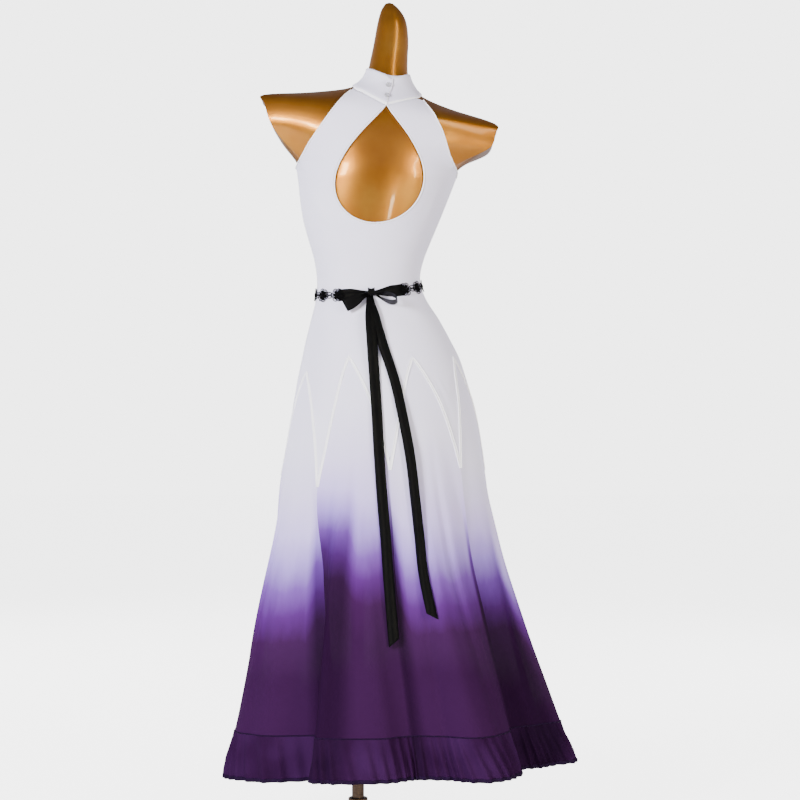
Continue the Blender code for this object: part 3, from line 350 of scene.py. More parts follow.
form_faces.append(tuple(reversed(range(FORM_COLUMNS))))
top_start = len(form_points) - FORM_COLUMNS
form_points.append(sum(form_points[top_start:], Vector()) / FORM_COLUMNS + Vector((0.0, 0.0, 0.003)))
for column in range(FORM_COLUMNS):
    beside = top_start + (column + 1) % FORM_COLUMNS
    form_faces.append((len(form_points) - 1, top_start + column, beside))
add_piece("dress_form", form_points, form_faces, gold, "gold_paint", ["form_torso"], 40.0)

# The stand: a steel pole in a turned collar on a round plate, with a flange under the torso. Satin brown
# plating, brushed round.
STAND_SIDES = 96
TURNED = (
    ("stand_plate", "base_plate", ((0.0, 0.012), (0.158, 0.012), (0.165, 0.0108), (0.1690, 0.0075),
                                   (0.170, 0.004), (0.170, 0.0006), (0.1694, 0.0), (0.0, 0.0))),
    ("stand_collar", "base_collar", ((0.0, 0.060), (0.0180, 0.060), (0.0196, 0.0590), (0.020, 0.0565),
                                     (0.020, 0.034), (0.0215, 0.030), (0.033, 0.0195), (0.0355, 0.0165),
                                     (0.036, 0.0123), (0.0, 0.0123))),
    ("stand_pole", "form_pole", ((0.0, 0.7557), (0.0125, 0.7557), (0.0125, 0.0603), (0.0, 0.0603))),
    ("stand_flange", "form_flange", ((0.0, 0.7697), (0.0445, 0.7697), (0.045, 0.7690), (0.045, 0.7655),
                                     (0.0442, 0.7648), (0.024, 0.7572), (0.022, 0.756), (0.0, 0.756))),
)
# Plated steel, brushed round: a dull brown sheen with fine rings.
steel, steel_shader = new_material("brown_plated_steel", {
    "Base Color": linear("#6E5A4C"), "Metallic": 0.85, "Roughness": 0.34})
steel_brush = laid_pattern(steel, "ShaderNodeTexNoise", {"Scale": 1.0}, (60.0, 60.0, 900.0))
paint(steel, steel_shader, steel_brush, ((0.3, "#5D4A3D"), (0.7, "#7A6657")), (0.08, 0.0003))
for name, node, profile in TURNED:
    points = []
    for radius, z in profile[1:-1]:
        for step in range(STAND_SIDES):
            angle = 2.0 * math.pi * step / STAND_SIDES
            points.append((radius * math.cos(angle), radius * math.sin(angle), z))
    rings = len(profile) - 2
    faces = [face[::-1] for face in grid_faces(rings, STAND_SIDES, True)]
    faces.append(tuple(range(STAND_SIDES)))
    faces.append(tuple(reversed(range((rings - 1) * STAND_SIDES, rings * STAND_SIDES))))
    add_piece(name, points, faces, steel, "brown_steel", [node], 30.0)

# The bodice: white stretch jersey, a halter front and a back with a teardrop keyhole, both cut in points
# between the skirt gores. It is stretched on the form and sewn up the sides.
GUIDE = BVHTree.FromPolygons(*body_mesh(FORM_COLUMNS, 0.0, 2))
CLOTH_GAP = 0.003
SEAM_GAP = 0.0004
STRETCH_WALL = 0.0010
WAIST_Z = 1.100
YOKE_TOP_Z = 0.985
GORES = 8
GORE_COLUMNS = 12
HALF_COLUMNS = 24
# The zigzag hip seam and the skirt folds below it. A tip is the lower end of a stretch tongue, where a
# valley of the skirt starts; hem_angle is where that valley reaches the hem, and lean how far the folds
# beside it lie over it.
TIP_COLUMNS = ("angle", "z", "hem_angle", "lean")
TIPS = (
    (-4.0, 0.735, -7.0, 0.35),
    (38.0, 0.700, 36.0, 2.00),
    (88.0, 0.720, 88.0, 0.10),
    (134.0, 0.715, 131.0, -0.15),
    (178.0, 0.725, 180.0, 0.20),
    (223.0, 0.715, 226.0, 0.30),
    (268.0, 0.730, 256.0, -0.05),
    (311.0, 0.737, 299.0, -0.35),
)
# Each gore lies between one tip and the next: its peak, how far its fold swings at the hem, and how much
# lower than its sides the middle of its hem hangs.
PEAK_COLUMNS = ("angle", "z", "swing", "sag")
PEAKS = (
    (23.3, 0.960, 42.0, 0.000),
    (63.5, 0.930, 54.0, 0.020),
    (112.0, 0.950, 52.0, 0.004),
    (157.0, 0.960, 54.0, 0.008),
    (202.0, 0.960, 54.0, 0.000),
    (248.0, 0.950, 52.0, 0.006),
    (294.0, 0.958, 50.0, 0.000),
    (336.7, 0.958, 42.0, 0.000),
)
TONGUE_SLOPE = 0.45
TONGUE_POWER = 2.6
# Upper back, seen square on: x and z of the armhole edges and of the keyhole.
ARMHOLE_LEFT = ((0.1245, 1.345), (0.094, 1.392), (0.051, 1.450), (0.024, 1.484), (0.006, 1.503))
ARMHOLE_RIGHT = ((-0.2030, 1.330), (-0.184, 1.368), (-0.168, 1.415), (-0.152, 1.447), (-0.122, 1.490))
KEYHOLE_APEX = (-0.0588, 1.4665)
KEYHOLE_FOOT = (-0.0360, 1.228)
KEYHOLE_HALF = 0.0905
KEYHOLE_WIDEST = 0.633
APEX_HALF = 0.0012
APEX_DEGREES = 1.2
COLLAR_CORNER_DEGREES = 52.0
COLLAR_TURN = -10.5
# How far along the keyhole, from apex to foot, and along the armhole, from armpit to collar, each row runs.
KEYHOLE_ROWS = ((1.0, 0.0), (0.985, 0.0), (0.94, 0.0), (0.86, 0.0), (0.76, 0.0), (0.66, 0.0),
                (0.60, 0.06), (0.54, 0.14), (0.48, 0.25), (0.36, 0.45), (0.22, 0.68), (0.10, 0.86),
                (0.0, 1.0))
SIDE_ROW_Z = (1.224, 1.238, 1.258, 1.288, 1.318)
SIDE_CROWDING = 1.35
NECK_DIP_BACK = 0.0385
NECK_DIP_FRONT = 0.024
TIP_ROWS = [row_dict(TIP_COLUMNS, row) for row in TIPS]
PEAK_ROWS = [row_dict(PEAK_COLUMNS, row) for row in PEAKS]
# Drag lines of the stretched cloth, seen square on: face (1 back, -1 front), middle, half length and half
# width, tilt from level, and height (below 0 a trough).
CREASE_COLUMNS = ("face", "x", "z", "length", "width", "tilt", "height")
CREASES = (
    (1, -0.093, 0.962, 0.020, 0.0045, -8.0, 0.0022),
    (1, -0.066, 0.955, 0.016, 0.0050, 14.0, -0.0012),
    (1, 0.058, 1.062, 0.034, 0.0060, -32.0, 0.0012),
    (1, 0.049, 1.040, 0.040, 0.0060, -36.0, -0.0011),
    (1, -0.106, 1.060, 0.034, 0.0060, 30.0, 0.0012),
    (1, -0.096, 1.036, 0.036, 0.0070, 38.0, -0.0010),
    (1, 0.052, 1.132, 0.030, 0.0050, 12.0, 0.0011),
    (1, -0.095, 1.136, 0.028, 0.0055, -16.0, 0.0011),
    (1, -0.020, 1.180, 0.050, 0.0080, 4.0, 0.0009),
    (1, 0.020, 0.905, 0.060, 0.0070, 70.0, 0.0012),
    (1, -0.070, 0.890, 0.070, 0.0060, 96.0, 0.0014),
    (1, -0.170, 0.880, 0.060, 0.0080, 112.0, 0.0012),
    (1, 0.076, 1.262, 0.030, 0.0060, 62.0, 0.0010),
    (1, -0.150, 1.268, 0.034, 0.0060, 112.0, 0.0010),
    (-1, 0.060, 1.326, 0.050, 0.0110, 58.0, 0.0016),
    (-1, -0.140, 1.330, 0.050, 0.0110, 124.0, 0.0016),
    (-1, 0.040, 1.130, 0.036, 0.0060, 10.0, 0.0012),
    (-1, -0.088, 1.126, 0.036, 0.0060, -12.0, 0.0012),
    (-1, -0.020, 1.085, 0.048, 0.0060, 3.0, 0.0010),
    (-1, 0.050, 1.040, 0.042, 0.0080, -34.0, 0.0012),
    (-1, -0.110, 1.044, 0.042, 0.0080, 34.0, 0.0012),
    (-1, -0.030, 0.900, 0.060, 0.0080, 88.0, 0.0013),
    (-1, 0.050, 0.870, 0.060, 0.0080, 76.0, 0.0012),
)
CREASE_ROWS = [row_dict(CREASE_COLUMNS, row) for row in CREASES]


def crease_height(face, x, z):
    total = 0.0
    for crease in CREASE_ROWS:
        if crease["face"] == face:
            tilt = math.radians(crease["tilt"])
            along = (x - crease["x"]) * math.cos(tilt) + (z - crease["z"]) * math.sin(tilt)
            across = (z - crease["z"]) * math.cos(tilt) - (x - crease["x"]) * math.sin(tilt)
            reach = (along / crease["length"]) ** 2 + (across / crease["width"]) ** 2
            if reach < 9.0:
                total += crease["height"] * math.exp(-reach)
    return total


def skin_point(z, degrees, offset):
    """A point on the body or skirt below the armpits, moved out along the surface's normal."""
    step_z = 0.004
    step_angle = 2.0
    point = section_point(section_at(z), degrees)
    here = section_at(z)
    around = section_point(here, degrees + step_angle) - section_point(here, degrees - step_angle)
    up = section_point(section_at(z + step_z), degrees) - section_point(section_at(z - step_z), degrees)
    return point + up.cross(around).normalized() * offset


def elevation_point(x, z, face, offset):
    """A point of the upper body, seen square on from the back (face 1) or the front (face -1)."""
    hit, normal, _, _ = GUIDE.ray_cast(Vector((x, face, z)), Vector((0.0, -face, 0.0)))
    if hit is None:
        hit, normal, _, _ = GUIDE.find_nearest(Vector((x, face * 0.02, z)))
    outside = hit - Vector((section_at(z)["cx"], 0.0, z))
    if normal.dot(outside) < 0.0:
        normal = -normal
    return hit + normal * offset


def neck_point(z, degrees, offset):
    """A point round the neck at height z."""
    angle = math.radians(degrees)
    out = Vector((math.sin(angle), math.cos(angle), 0.0))
    section = section_at(z)
    centre = Vector((section["cx"], section["cy"], z))
    hit, normal, _, _ = GUIDE.ray_cast(centre, out)
    if normal.dot(out) < 0.0:
        normal = -normal
    return hit + normal * offset


def seam_place(gore, w):
    """The angle and height of the zigzag seam a fraction w of the way across a gore."""
    peak = PEAK_ROWS[gore % GORES]
    turns = 360.0 * (gore // GORES)
    before = TIP_ROWS[gore % GORES]
    after = TIP_ROWS[(gore + 1) % GORES]
    angle_after = after["angle"] + (360.0 if gore % GORES == GORES - 1 else 0.0)
    tip, tip_angle = (before, before["angle"]) if w < 0.5 else (after, angle_after)
    s = abs(w - 0.5) * 2.0
    fall = TONGUE_SLOPE * s + (1.0 - TONGUE_SLOPE) * s ** TONGUE_POWER
    z = lerp(peak["z"], tip["z"], fall)
    return lerp(peak["angle"], tip_angle, s) + turns, z


def column_angle(column, z):
    """Where a fine column lies at height z: even at the waist, on the seam's peaks and tips below."""
    gore, part = divmod(column, GORE_COLUMNS)
    even = column * 360.0 / (GORES * GORE_COLUMNS)
    seam_angle = seam_place(gore, part / GORE_COLUMNS)[0]
    return lerp(even, seam_angle, smooth((WAIST_Z - z) / (WAIST_Z - YOKE_TOP_Z)))


def along_path(path, t):
    place = t * (len(path) - 1)
    i = min(len(path) - 2, int(place))
    return tuple(lerp(a, b, place - i) for a, b in zip(path[i], path[i + 1]))


def keyhole_edge(t, side):
    """The keyhole's outline, from its apex (t 0) to its foot (t 1); side is 1 on the wearer's left."""
    x = lerp(KEYHOLE_APEX[0], KEYHOLE_FOOT[0], t)
    z = lerp(KEYHOLE_APEX[1], KEYHOLE_FOOT[1], t)
    if t <= KEYHOLE_WIDEST:
        half = math.sin(math.pi / 2.0 * (t / KEYHOLE_WIDEST) ** 1.05)
    else:
        half = math.sqrt(max(0.0, 1.0 - ((t - KEYHOLE_WIDEST) / (1.0 - KEYHOLE_WIDEST)) ** 2))
    return x + side * max(APEX_HALF, KEYHOLE_HALF * half), z


def back_facing(degrees):
    """How far a bearing round the neck faces back; the collar's low point lies over the keyhole's apex."""
    return math.cos(math.radians(degrees - COLLAR_TURN * max(0.0, math.cos(math.radians(degrees)))))


def neck_height(degrees):
    """The height of the collar's seam: a shallow V at the back, a curve at the front."""
    lean = 0.0095 * math.sin(math.radians(degrees))
    facing = back_facing(degrees)
    corner = math.cos(math.radians(COLLAR_CORNER_DEGREES))
    if facing > corner:
        away = math.sqrt(1.0 - facing * facing) / math.sqrt(1.0 - corner * corner)
        return lerp(1.5045 - NECK_DIP_BACK, 1.5045 - NECK_DIP_BACK * corner ** 2.2, away) + lean
    dip = NECK_DIP_BACK if facing > 0.0 else NECK_DIP_FRONT
    return 1.5045 + lean - dip * abs(facing) ** 2.2


def cloth_point(z, degrees):
    """A point of the bodice below the armpits, with its drag lines."""
    point = skin_point(z, degrees, CLOTH_GAP)
    face = 1 if math.cos(math.radians(degrees)) > 0.0 else -1
    return point + (point - skin_point(z, degrees, 0.0)) / CLOTH_GAP * crease_height(face, point.x, point.z)


def finer(table):
    """The table with a row put midway between each two rows; a missing value stays missing."""
    rows = []
    for first, second in zip(table, table[1:]):
        middle = tuple(None if a is None or b is None else (a + b) / 2.0 for a, b in zip(first, second))
        rows += [first, middle]
    return rows + [table[-1]]


def upper_row(face, side, hole_t, arm_t, side_z):
    """One row of one half of the bodice, from the keyhole or the middle to the side seam or the armhole."""
    if face > 0:
        inner = keyhole_edge(hole_t, side)
    else:
        inner = (lerp(KEYHOLE_APEX[0], KEYHOLE_FOOT[0], hole_t), lerp(1.4720, 1.228, hole_t))
    line = []
    for c in range(HALF_COLUMNS + 1):
        share = c / HALF_COLUMNS
        if side_z is not None:
            z = lerp(inner[1], side_z, share)
            section = section_at(z)
            start = (inner[0] - section["cx"]) * side / section["half"]
            angle = lerp(math.degrees(math.asin(max(-1.0, min(1.0, start)))), 90.0, share)
            line.append(cloth_point(z, side * angle if face > 0 else side * (180.0 - angle)))
        else:
            outer = along_path(ARMHOLE_LEFT if side > 0 else ARMHOLE_RIGHT, arm_t)
            x = lerp(inner[0], outer[0], math.sin(share * SIDE_CROWDING) / math.sin(SIDE_CROWDING))
            z = lerp(inner[1], outer[1], share)
            line.append(elevation_point(x, z, face, CLOTH_GAP + crease_height(face, x, z)))
    return line


def collar_row(face, side):
    """The top row of one half, just under the collar, from the centre to the armhole's corner."""
    line = []
    for c in range(HALF_COLUMNS + 1):
        share = c / HALF_COLUMNS
        degrees = lerp(APEX_DEGREES, COLLAR_CORNER_DEGREES, share)
        if face > 0:
            degrees = side * degrees + COLLAR_TURN * (1.0 - share)
        else:
            degrees = side * (180.0 - degrees + APEX_DEGREES)
        line.append(neck_point(neck_height(degrees) - SEAM_GAP, degrees, CLOTH_GAP))
    return line


def upper_half(face, side):
    armhole = ARMHOLE_LEFT if side > 0 else ARMHOLE_RIGHT
    heights = SIDE_ROW_Z + (armhole[0][1],) + (None,) * (len(KEYHOLE_ROWS) - len(SIDE_ROW_Z) - 1)
    plan = finer(finer([(hole, arm, z) for (hole, arm), z in zip(KEYHOLE_ROWS, heights)]))
    return [upper_row(face, side, *row) for row in plan[:-2]] + [collar_row(face, side)]


def lower_rows(face):
    """The rows under the keyhole's foot, down to the zigzag seam."""
    first = -2 * GORE_COLUMNS if face > 0 else 2 * GORE_COLUMNS
    columns = range(first, first + 4 * GORE_COLUMNS + 1)
    heights = [lerp(1.206, YOKE_TOP_Z, r / 20.0) for r in range(21)]
    rows = [[cloth_point(z, column_angle(c, z)) for c in columns] for z in heights]
    steps = 20
    for r in range(1, steps + 1):
        line = []
        for c in columns:
            gore, part = divmod(c, GORE_COLUMNS)
            z = lerp(YOKE_TOP_Z, seam_place(gore, part / GORE_COLUMNS)[1] + SEAM_GAP, r / steps)
            line.append(cloth_point(z, column_angle(c, z)))
        rows.append(line)
    return rows


def make_bodice(name, face, node):
    """One face: two halves above the keyhole's foot and one piece below it. Returns the halves' rows."""
    halves = {side: upper_half(face, side) for side in (1, -1)}
    first_side = -face
    foot = list(reversed(halves[first_side][0])) + halves[-first_side][0][1:]
    body = [foot] + lower_rows(face)
    width = len(foot)
    points = [point for row in body for point in row]
    faces = grid_faces(len(body), width)
    for side, rows in halves.items():
        flip = side == first_side
        below = list(range(HALF_COLUMNS, -1, -1)) if flip else list(range(HALF_COLUMNS, width))
        for line in rows[1:]:
            start = len(points)
            points += line
            above = list(range(start, start + len(line)))
            for c in range(HALF_COLUMNS):
                quad = (above[c], above[c + 1], below[c + 1], below[c])
                faces.append(quad[::-1] if flip else quad)
            below = above
    piece = add_piece(name, points, faces, jersey, "white_stretch", [node], 60.0)
    wall = piece.modifiers.new("wall", "SOLIDIFY")
    wall.thickness = STRETCH_WALL
    wall.offset = 1.0
    wall.edge_crease_inner = 1.0
    wall.edge_crease_outer = 1.0
    round_off = piece.modifiers.new("round", "SUBSURF")
    round_off.levels = 1
    round_off.render_levels = 1
    return halves


# Stretch jersey, knitted: a matt cool white that takes soft shade. Its loops are drawn 1.6 mm wide, about
# twice the real size, so that the knit shows.
jersey, jersey_shader = new_material("white_stretch_jersey", {
    "Base Color": linear("#DEDAF0"), "Roughness": 0.62, "Sheen Weight": 0.08, "Sheen Roughness": 0.45})
jersey_cloud = laid_pattern(jersey, "ShaderNodeTexNoise", {"Scale": 7.0})
paint(jersey, jersey_shader, jersey_cloud, ((0.3, "#DCD8EE"), (0.7, "#E3E0F4")))
jersey_knit = laid_pattern(jersey, "ShaderNodeTexVoronoi", {"Scale": 620.0}, (1.0, 1.0, 0.6))
paint(jersey, jersey_shader, jersey_knit, raised=(0.22, 0.0004))
back_halves = make_bodice("bodice_back_cloth", 1, "bodice_back")
front_halves = make_bodice("bodice_front_cloth", -1, "bodice_front")

# The skirt: eight gores of chiffon, each with a pointed top set between two tongues of the bodice and a deep
# soft fold below. Dip-dyed from white to deep purple, with painted shade where the cloth lies doubled.
CHIFFON_WALL = 0.0011
FOLD_TOP_Z = 0.880
FADE_DROP = 0.17
SEAM_SAG = 0.6
FLOUNCE_SEAM_Z = 0.222
HEM_Z = 0.137
SKIRT_COLUMNS = 30
SKIRT_ROWS = 54
CREASE_GAIN = 1.35
# Creases listed one by one: gore, how far across and how high each starts and ends, width as a share of the
# gore, and depth (below 0 a trough).
FOLD_COLUMNS = ("gore", "w_top", "z_top", "w_low", "z_low", "width", "depth")
FOLDS = (
    (1, 0.46, 0.84, 0.40, 0.22, 0.050, 0.0040), (1, 0.58, 0.70, 0.62, 0.14, 0.060, -0.0050),
    (1, 0.30, 0.60, 0.22, 0.14, 0.055, -0.0042), (1, 0.72, 0.52, 0.78, 0.14, 0.045, 0.0035),
    (1, 0.50, 0.42, 0.50, 0.14, 0.035, 0.0030),
    (2, 0.50, 0.82, 0.52, 0.14, 0.060, 0.0042), (2, 0.34, 0.66, 0.26, 0.14, 0.055, -0.0050),
    (2, 0.66, 0.60, 0.72, 0.14, 0.050, -0.0046), (2, 0.42, 0.44, 0.38, 0.14, 0.040, 0.0032),
    (2, 0.80, 0.52, 0.84, 0.14, 0.040, 0.0034),
    (3, 0.44, 0.78, 0.38, 0.14, 0.060, 0.0045), (3, 0.60, 0.64, 0.66, 0.14, 0.060, -0.0050),
    (3, 0.24, 0.50, 0.18, 0.14, 0.050, 0.0036),
    (4, 0.50, 0.84, 0.46, 0.14, 0.060, -0.0042), (4, 0.64, 0.66, 0.70, 0.14, 0.055, 0.0044),
    (4, 0.34, 0.56, 0.26, 0.14, 0.055, 0.0040), (4, 0.54, 0.40, 0.56, 0.14, 0.040, -0.0034),
    (5, 0.46, 0.80, 0.40, 0.14, 0.060, 0.0044), (5, 0.62, 0.62, 0.68, 0.14, 0.060, -0.0048),
    (5, 0.28, 0.52, 0.22, 0.14, 0.050, -0.0036),
    (6, 0.52, 0.82, 0.56, 0.14, 0.060, 0.0040), (6, 0.36, 0.62, 0.30, 0.14, 0.055, -0.0046),
    (6, 0.70, 0.50, 0.76, 0.14, 0.050, 0.0036),
    (7, 0.46, 0.80, 0.50, 0.14, 0.055, -0.0042), (7, 0.60, 0.66, 0.68, 0.14, 0.060, 0.0046),
    (7, 0.30, 0.56, 0.24, 0.14, 0.050, 0.0036), (7, 0.80, 0.44, 0.84, 0.14, 0.040, -0.0030),
    (8, 0.44, 0.84, 0.36, 0.14, 0.055, 0.0042), (8, 0.60, 0.72, 0.58, 0.14, 0.060, -0.0050),
    (8, 0.74, 0.58, 0.78, 0.14, 0.050, 0.0040), (8, 0.26, 0.50, 0.18, 0.14, 0.045, -0.0034),
)
FOLD_ROWS = [row_dict(FOLD_COLUMNS, row) for row in FOLDS]
# Each gore's cut (width at its foot, length, area) and how much higher or lower than usual its dye starts.
GORE_CUTS = (
    (0.27, 0.75, 0.117, -0.066), (0.345, 0.74, 0.137, 0.012), (0.25, 0.75, 0.108, -0.010),
    (0.28, 0.76, 0.125, 0.015), (0.27, 0.76, 0.126, -0.015), (0.20, 0.76, 0.096, 0.010),
    (0.235, 0.77, 0.106, 0.045), (0.27, 0.76, 0.127, -0.010),
)
# How much of each gore, from its first side and from its second, lies over or under the one beside it. These
# strips get painted shade.
OVERLAPS = ((0.04, 0.58), (0.10, 0.12), (0.10, 0.10), (0.12, 0.12), (0.10, 0.16), (0.12, 0.12), (0.12, 0.42),
            (0.06, 0.05))


def crease_at(gore, w, z):
    total = 0.0
    for fold in FOLD_ROWS:
        if fold["gore"] == gore + 1 and z < fold["z_top"]:
            t = (fold["z_top"] - z) / (fold["z_top"] - fold["z_low"])
            away = (w - lerp(fold["w_top"], fold["w_low"], t)) / (fold["width"] * (0.7 + 0.5 * t))
            if abs(away) < 3.0:
                total += fold["depth"] * smooth(t * 2.2) * math.exp(-away * away)
    return total * CREASE_GAIN


def fold_curve(w, swing):
    """A cloth wave from valley to valley: how far across and how far out it is, in wavelengths."""
    samples = 48
    across, out = [0.0], [0.0]
    for i in range(samples):
        bearing = swing * math.sin(2.0 * math.pi * (i + 0.5) / samples)
        across.append(across[-1] + math.cos(bearing))
        out.append(out[-1] + math.sin(bearing))
    place = w * samples
    i = min(samples - 1, int(place))
    x = lerp(across[i], across[i + 1], place - i) / across[-1]
    y = lerp(out[i], out[i + 1], place - i) / across[-1]
    middle = (max(out) + min(out)) / 2.0 / across[-1]
    return x, y - middle


def gore_span(gore, z):
    """The angles of the two valleys beside a gore at height z."""
    sides = []
    for place in (gore, gore + 1):
        tip = TIP_ROWS[place % GORES]
        low = max(0.0, min(1.0, (tip["z"] - z) / (tip["z"] - HEM_Z)))
        sides.append(lerp(tip["angle"], tip["hem_angle"], low) + 360.0 * (place // GORES))
    return sides


def fold_swing(gore, z):
    grown = max(0.0, min(1.0, (FOLD_TOP_Z - z) / (FOLD_TOP_Z - HEM_Z)))
    return math.radians(PEAK_ROWS[gore % GORES]["swing"]) * grown


def valley_depth(gore, z):
    """How far in the valleys of a gore would lie if both its sides were alike, as a share of the radius."""
    left, right = gore_span(gore, z)
    return -fold_curve(0.0, fold_swing(gore, z))[1] * math.radians(right - left)


def fold_point(gore, w, z, offset=0.0):
    """A point of the skirt: the section, with the gore's fold growing below the zigzag seam."""
    seam_angle, seam_z = seam_place(gore, w)
    fade = smooth((seam_z - z) / FADE_DROP)
    left, right = gore_span(gore, z)
    across, out = fold_curve(w, fold_swing(gore, z))
    section = section_at(z)
    own = valley_depth(gore, z)
    share = out * math.radians(right - left)
    if own > 0.0:
        beside = [(own + valley_depth(gore + step, z)) / 2.0 / own for step in (-1, 1)]
        share *= lerp(beside[0], beside[1], w)
    lean = lerp(TIP_ROWS[gore]["lean"], TIP_ROWS[(gore + 1) % GORES]["lean"], w)
    angle = lerp(seam_angle, lerp(left, right, across), fade)
    angle += fade * lean * math.degrees(share)
    radius = (section["half"] + section["back"]) / 2.0
    point = section_point(section, angle, fade * share * radius)
    if offset == 0.0:
        return point
    return point + (skin_point(z, angle, offset) - section_point(section, angle))


def sag(gore, w):
    """How far below its even level the hem hangs a fraction w of the way across a gore."""
    return PEAK_ROWS[gore]["sag"] * math.sin(math.pi * w)


def skirt_point(gore, w, z, lift=0.0):
    """A point of the skirt with its creases, moved out square to the wall by lift."""
    step = 0.01
    point = fold_point(gore, w, z, CLOTH_GAP + CHIFFON_WALL)
    side = fold_point(gore, min(1.0, w + step), z) - fold_point(gore, max(0.0, w - step), z)
    return point + Vector((0.0, 0.0, 1.0)).cross(side).normalized() * -(lift + crease_at(gore, w, z))


def painted_overlap_shade(gore, w):
    """How far the cloth here lies over a fold of the next gore, 0 to 1: how much painted shade it gets."""
    before = OVERLAPS[gore][0]
    after = OVERLAPS[gore][1]
    return max(smooth((before - w) / 0.03 + 0.5), smooth((w - 1.0 + after) / 0.12 + 0.5))


def add_layer(piece, name, values):
    """Writes one value for each point of a piece, which its material reads by this name."""
    layer = piece.data.attributes.new(name, "FLOAT", "POINT")
    layer.data.foreach_set("value", values)


# Chiffon, woven and dip-dyed: matt, with a fine crepe grain and a little light through it down to the hem
# band. The dye drifts in upright streaks. Where the cloth lies doubled, painted shade darkens it and moves
# the dye's dark higher up.
OMBRE = ((0.36, "#2D1135"), (0.43, "#34143E"), (0.48, "#4C2268"), (0.53, "#6B4598"), (0.58, "#9882CC"),
         (0.64, "#BCACE5"), (0.72, "#CEC5EB"), (0.82, "#DDD9F0"))
# A tint multiplied in as painted shade where the cloth lies doubled.
DOUBLED_SHADE_TINT = ((0.42, "#8A6E90"), (0.58, "#DAD0EA"), (0.72, "#FFFFFF"))
COVER = ((0.27, "#FFFFFF"), (0.32, "#FBFBFB"))
# How far painted shade on doubled cloth lifts the dye's dark, and how much of its tint is used.
DOUBLED_SHADE_CLIMB = 0.052
DOUBLED_SHADE_SHARE = 0.70
DYE_DRIFT = 0.05
chiffon, chiffon_shader = new_material("dip_dyed_chiffon", {"Roughness": 0.8, "Specular IOR Level": 0.06})
dye_height = add_node(chiffon, "ShaderNodeAttribute", {}, attribute_name="dye").outputs["Fac"]
chiffon_painted_shade = add_node(chiffon, "ShaderNodeAttribute", {}, attribute_name="painted_overlap_shade").outputs["Fac"]
chiffon_cover = add_node(chiffon, "ShaderNodeValToRGB", {"Fac": dye_height}, COVER)
feed(chiffon, chiffon_cover.outputs["Color"], chiffon_shader.inputs["Alpha"])
chiffon_streaks = laid_pattern(chiffon, "ShaderNodeTexNoise", {"Scale": 26.0, "Detail": 4.0},
                               (1.0, 1.0, 0.22))
# Painted shade on doubled cloth: the dye ramp is read darker there and a shade tint is multiplied in.
dye_lifted_by_shade = add_node(chiffon, "ShaderNodeMath", {0: chiffon_painted_shade, 1: -DOUBLED_SHADE_CLIMB, 2: dye_height},
                     operation="MULTIPLY_ADD").outputs["Value"]
dye_and_shade_place = add_node(chiffon, "ShaderNodeMath", {0: chiffon_streaks, 1: DYE_DRIFT, 2: dye_lifted_by_shade},
                     operation="MULTIPLY_ADD").outputs["Value"]
chiffon_tone = add_node(chiffon, "ShaderNodeValToRGB", {"Fac": dye_and_shade_place}, OMBRE).outputs["Color"]
chiffon_shade_tint = add_node(chiffon, "ShaderNodeValToRGB", {"Fac": dye_and_shade_place}, DOUBLED_SHADE_TINT).outputs["Color"]
chiffon_shade = add_node(chiffon, "ShaderNodeMath", {0: chiffon_painted_shade, 1: DOUBLED_SHADE_SHARE},
                         operation="MULTIPLY").outputs["Value"]
chiffon_laid = add_node(chiffon, "ShaderNodeMix", {
    "Factor": chiffon_shade, 6: chiffon_tone, 7: chiffon_shade_tint}, data_type="RGBA", blend_type="MULTIPLY")
feed(chiffon, chiffon_laid.outputs[2], chiffon_shader.inputs["Base Color"])
chiffon_crepe = laid_pattern(chiffon, "ShaderNodeTexNoise", {"Scale": 850.0})
paint(chiffon, chiffon_shader, chiffon_crepe, raised=(0.25, 0.0004))
for gore in range(GORES):
    points, dye, overlap_shade_amounts = [], [], []
    width, length, area, onset = GORE_CUTS[gore]
    for r in range(SKIRT_ROWS + 1):
        for c in range(SKIRT_COLUMNS + 1):
            w = c / SKIRT_COLUMNS
            top = seam_place(gore, w)[1] - SEAM_GAP
            z = lerp(top, FLOUNCE_SEAM_Z - SEAM_SAG * sag(gore, w), (r / SKIRT_ROWS) ** 0.9)
            points.append(skirt_point(gore, w, z))
            dye.append(z + onset)
            # Painted shade where the gore lies doubled, fading out up towards the hips.
            overlap_shade_amounts.append(painted_overlap_shade(gore, w) * smooth((0.78 - z) / 0.22))
    faces = grid_faces(SKIRT_ROWS + 1, SKIRT_COLUMNS + 1)
    piece = add_piece(f"skirt_gore_{gore + 1}", points, faces, chiffon, "ombre_chiffon",
                      [f"gore_{gore + 1}"], 180.0)
    add_layer(piece, "dye", dye)
    add_layer(piece, "painted_overlap_shade", overlap_shade_amounts)

# The hem band: a strip of the same chiffon gathered on to the foot of each gore, its gathers lying at a
# slant, with a thick rolled hem. A bound seam joins it to the skirt.
FLOUNCE_COLUMNS = 128
FLOUNCE_ROWS = 10
GATHERS = 16
GATHER_HEIGHT = 0.0046
HEM_HALF_HEIGHT = 0.0040
HEM_HALF_THICK = 0.0016
SEAM_RADIUS = 0.0014
FLOUNCE_CUTS = ((0.41, 0.09), (0.47, 0.095), (0.38, 0.09), (0.41, 0.09), (0.39, 0.09), (0.32, 0.09),
                (0.36, 0.09), (0.40, 0.09))


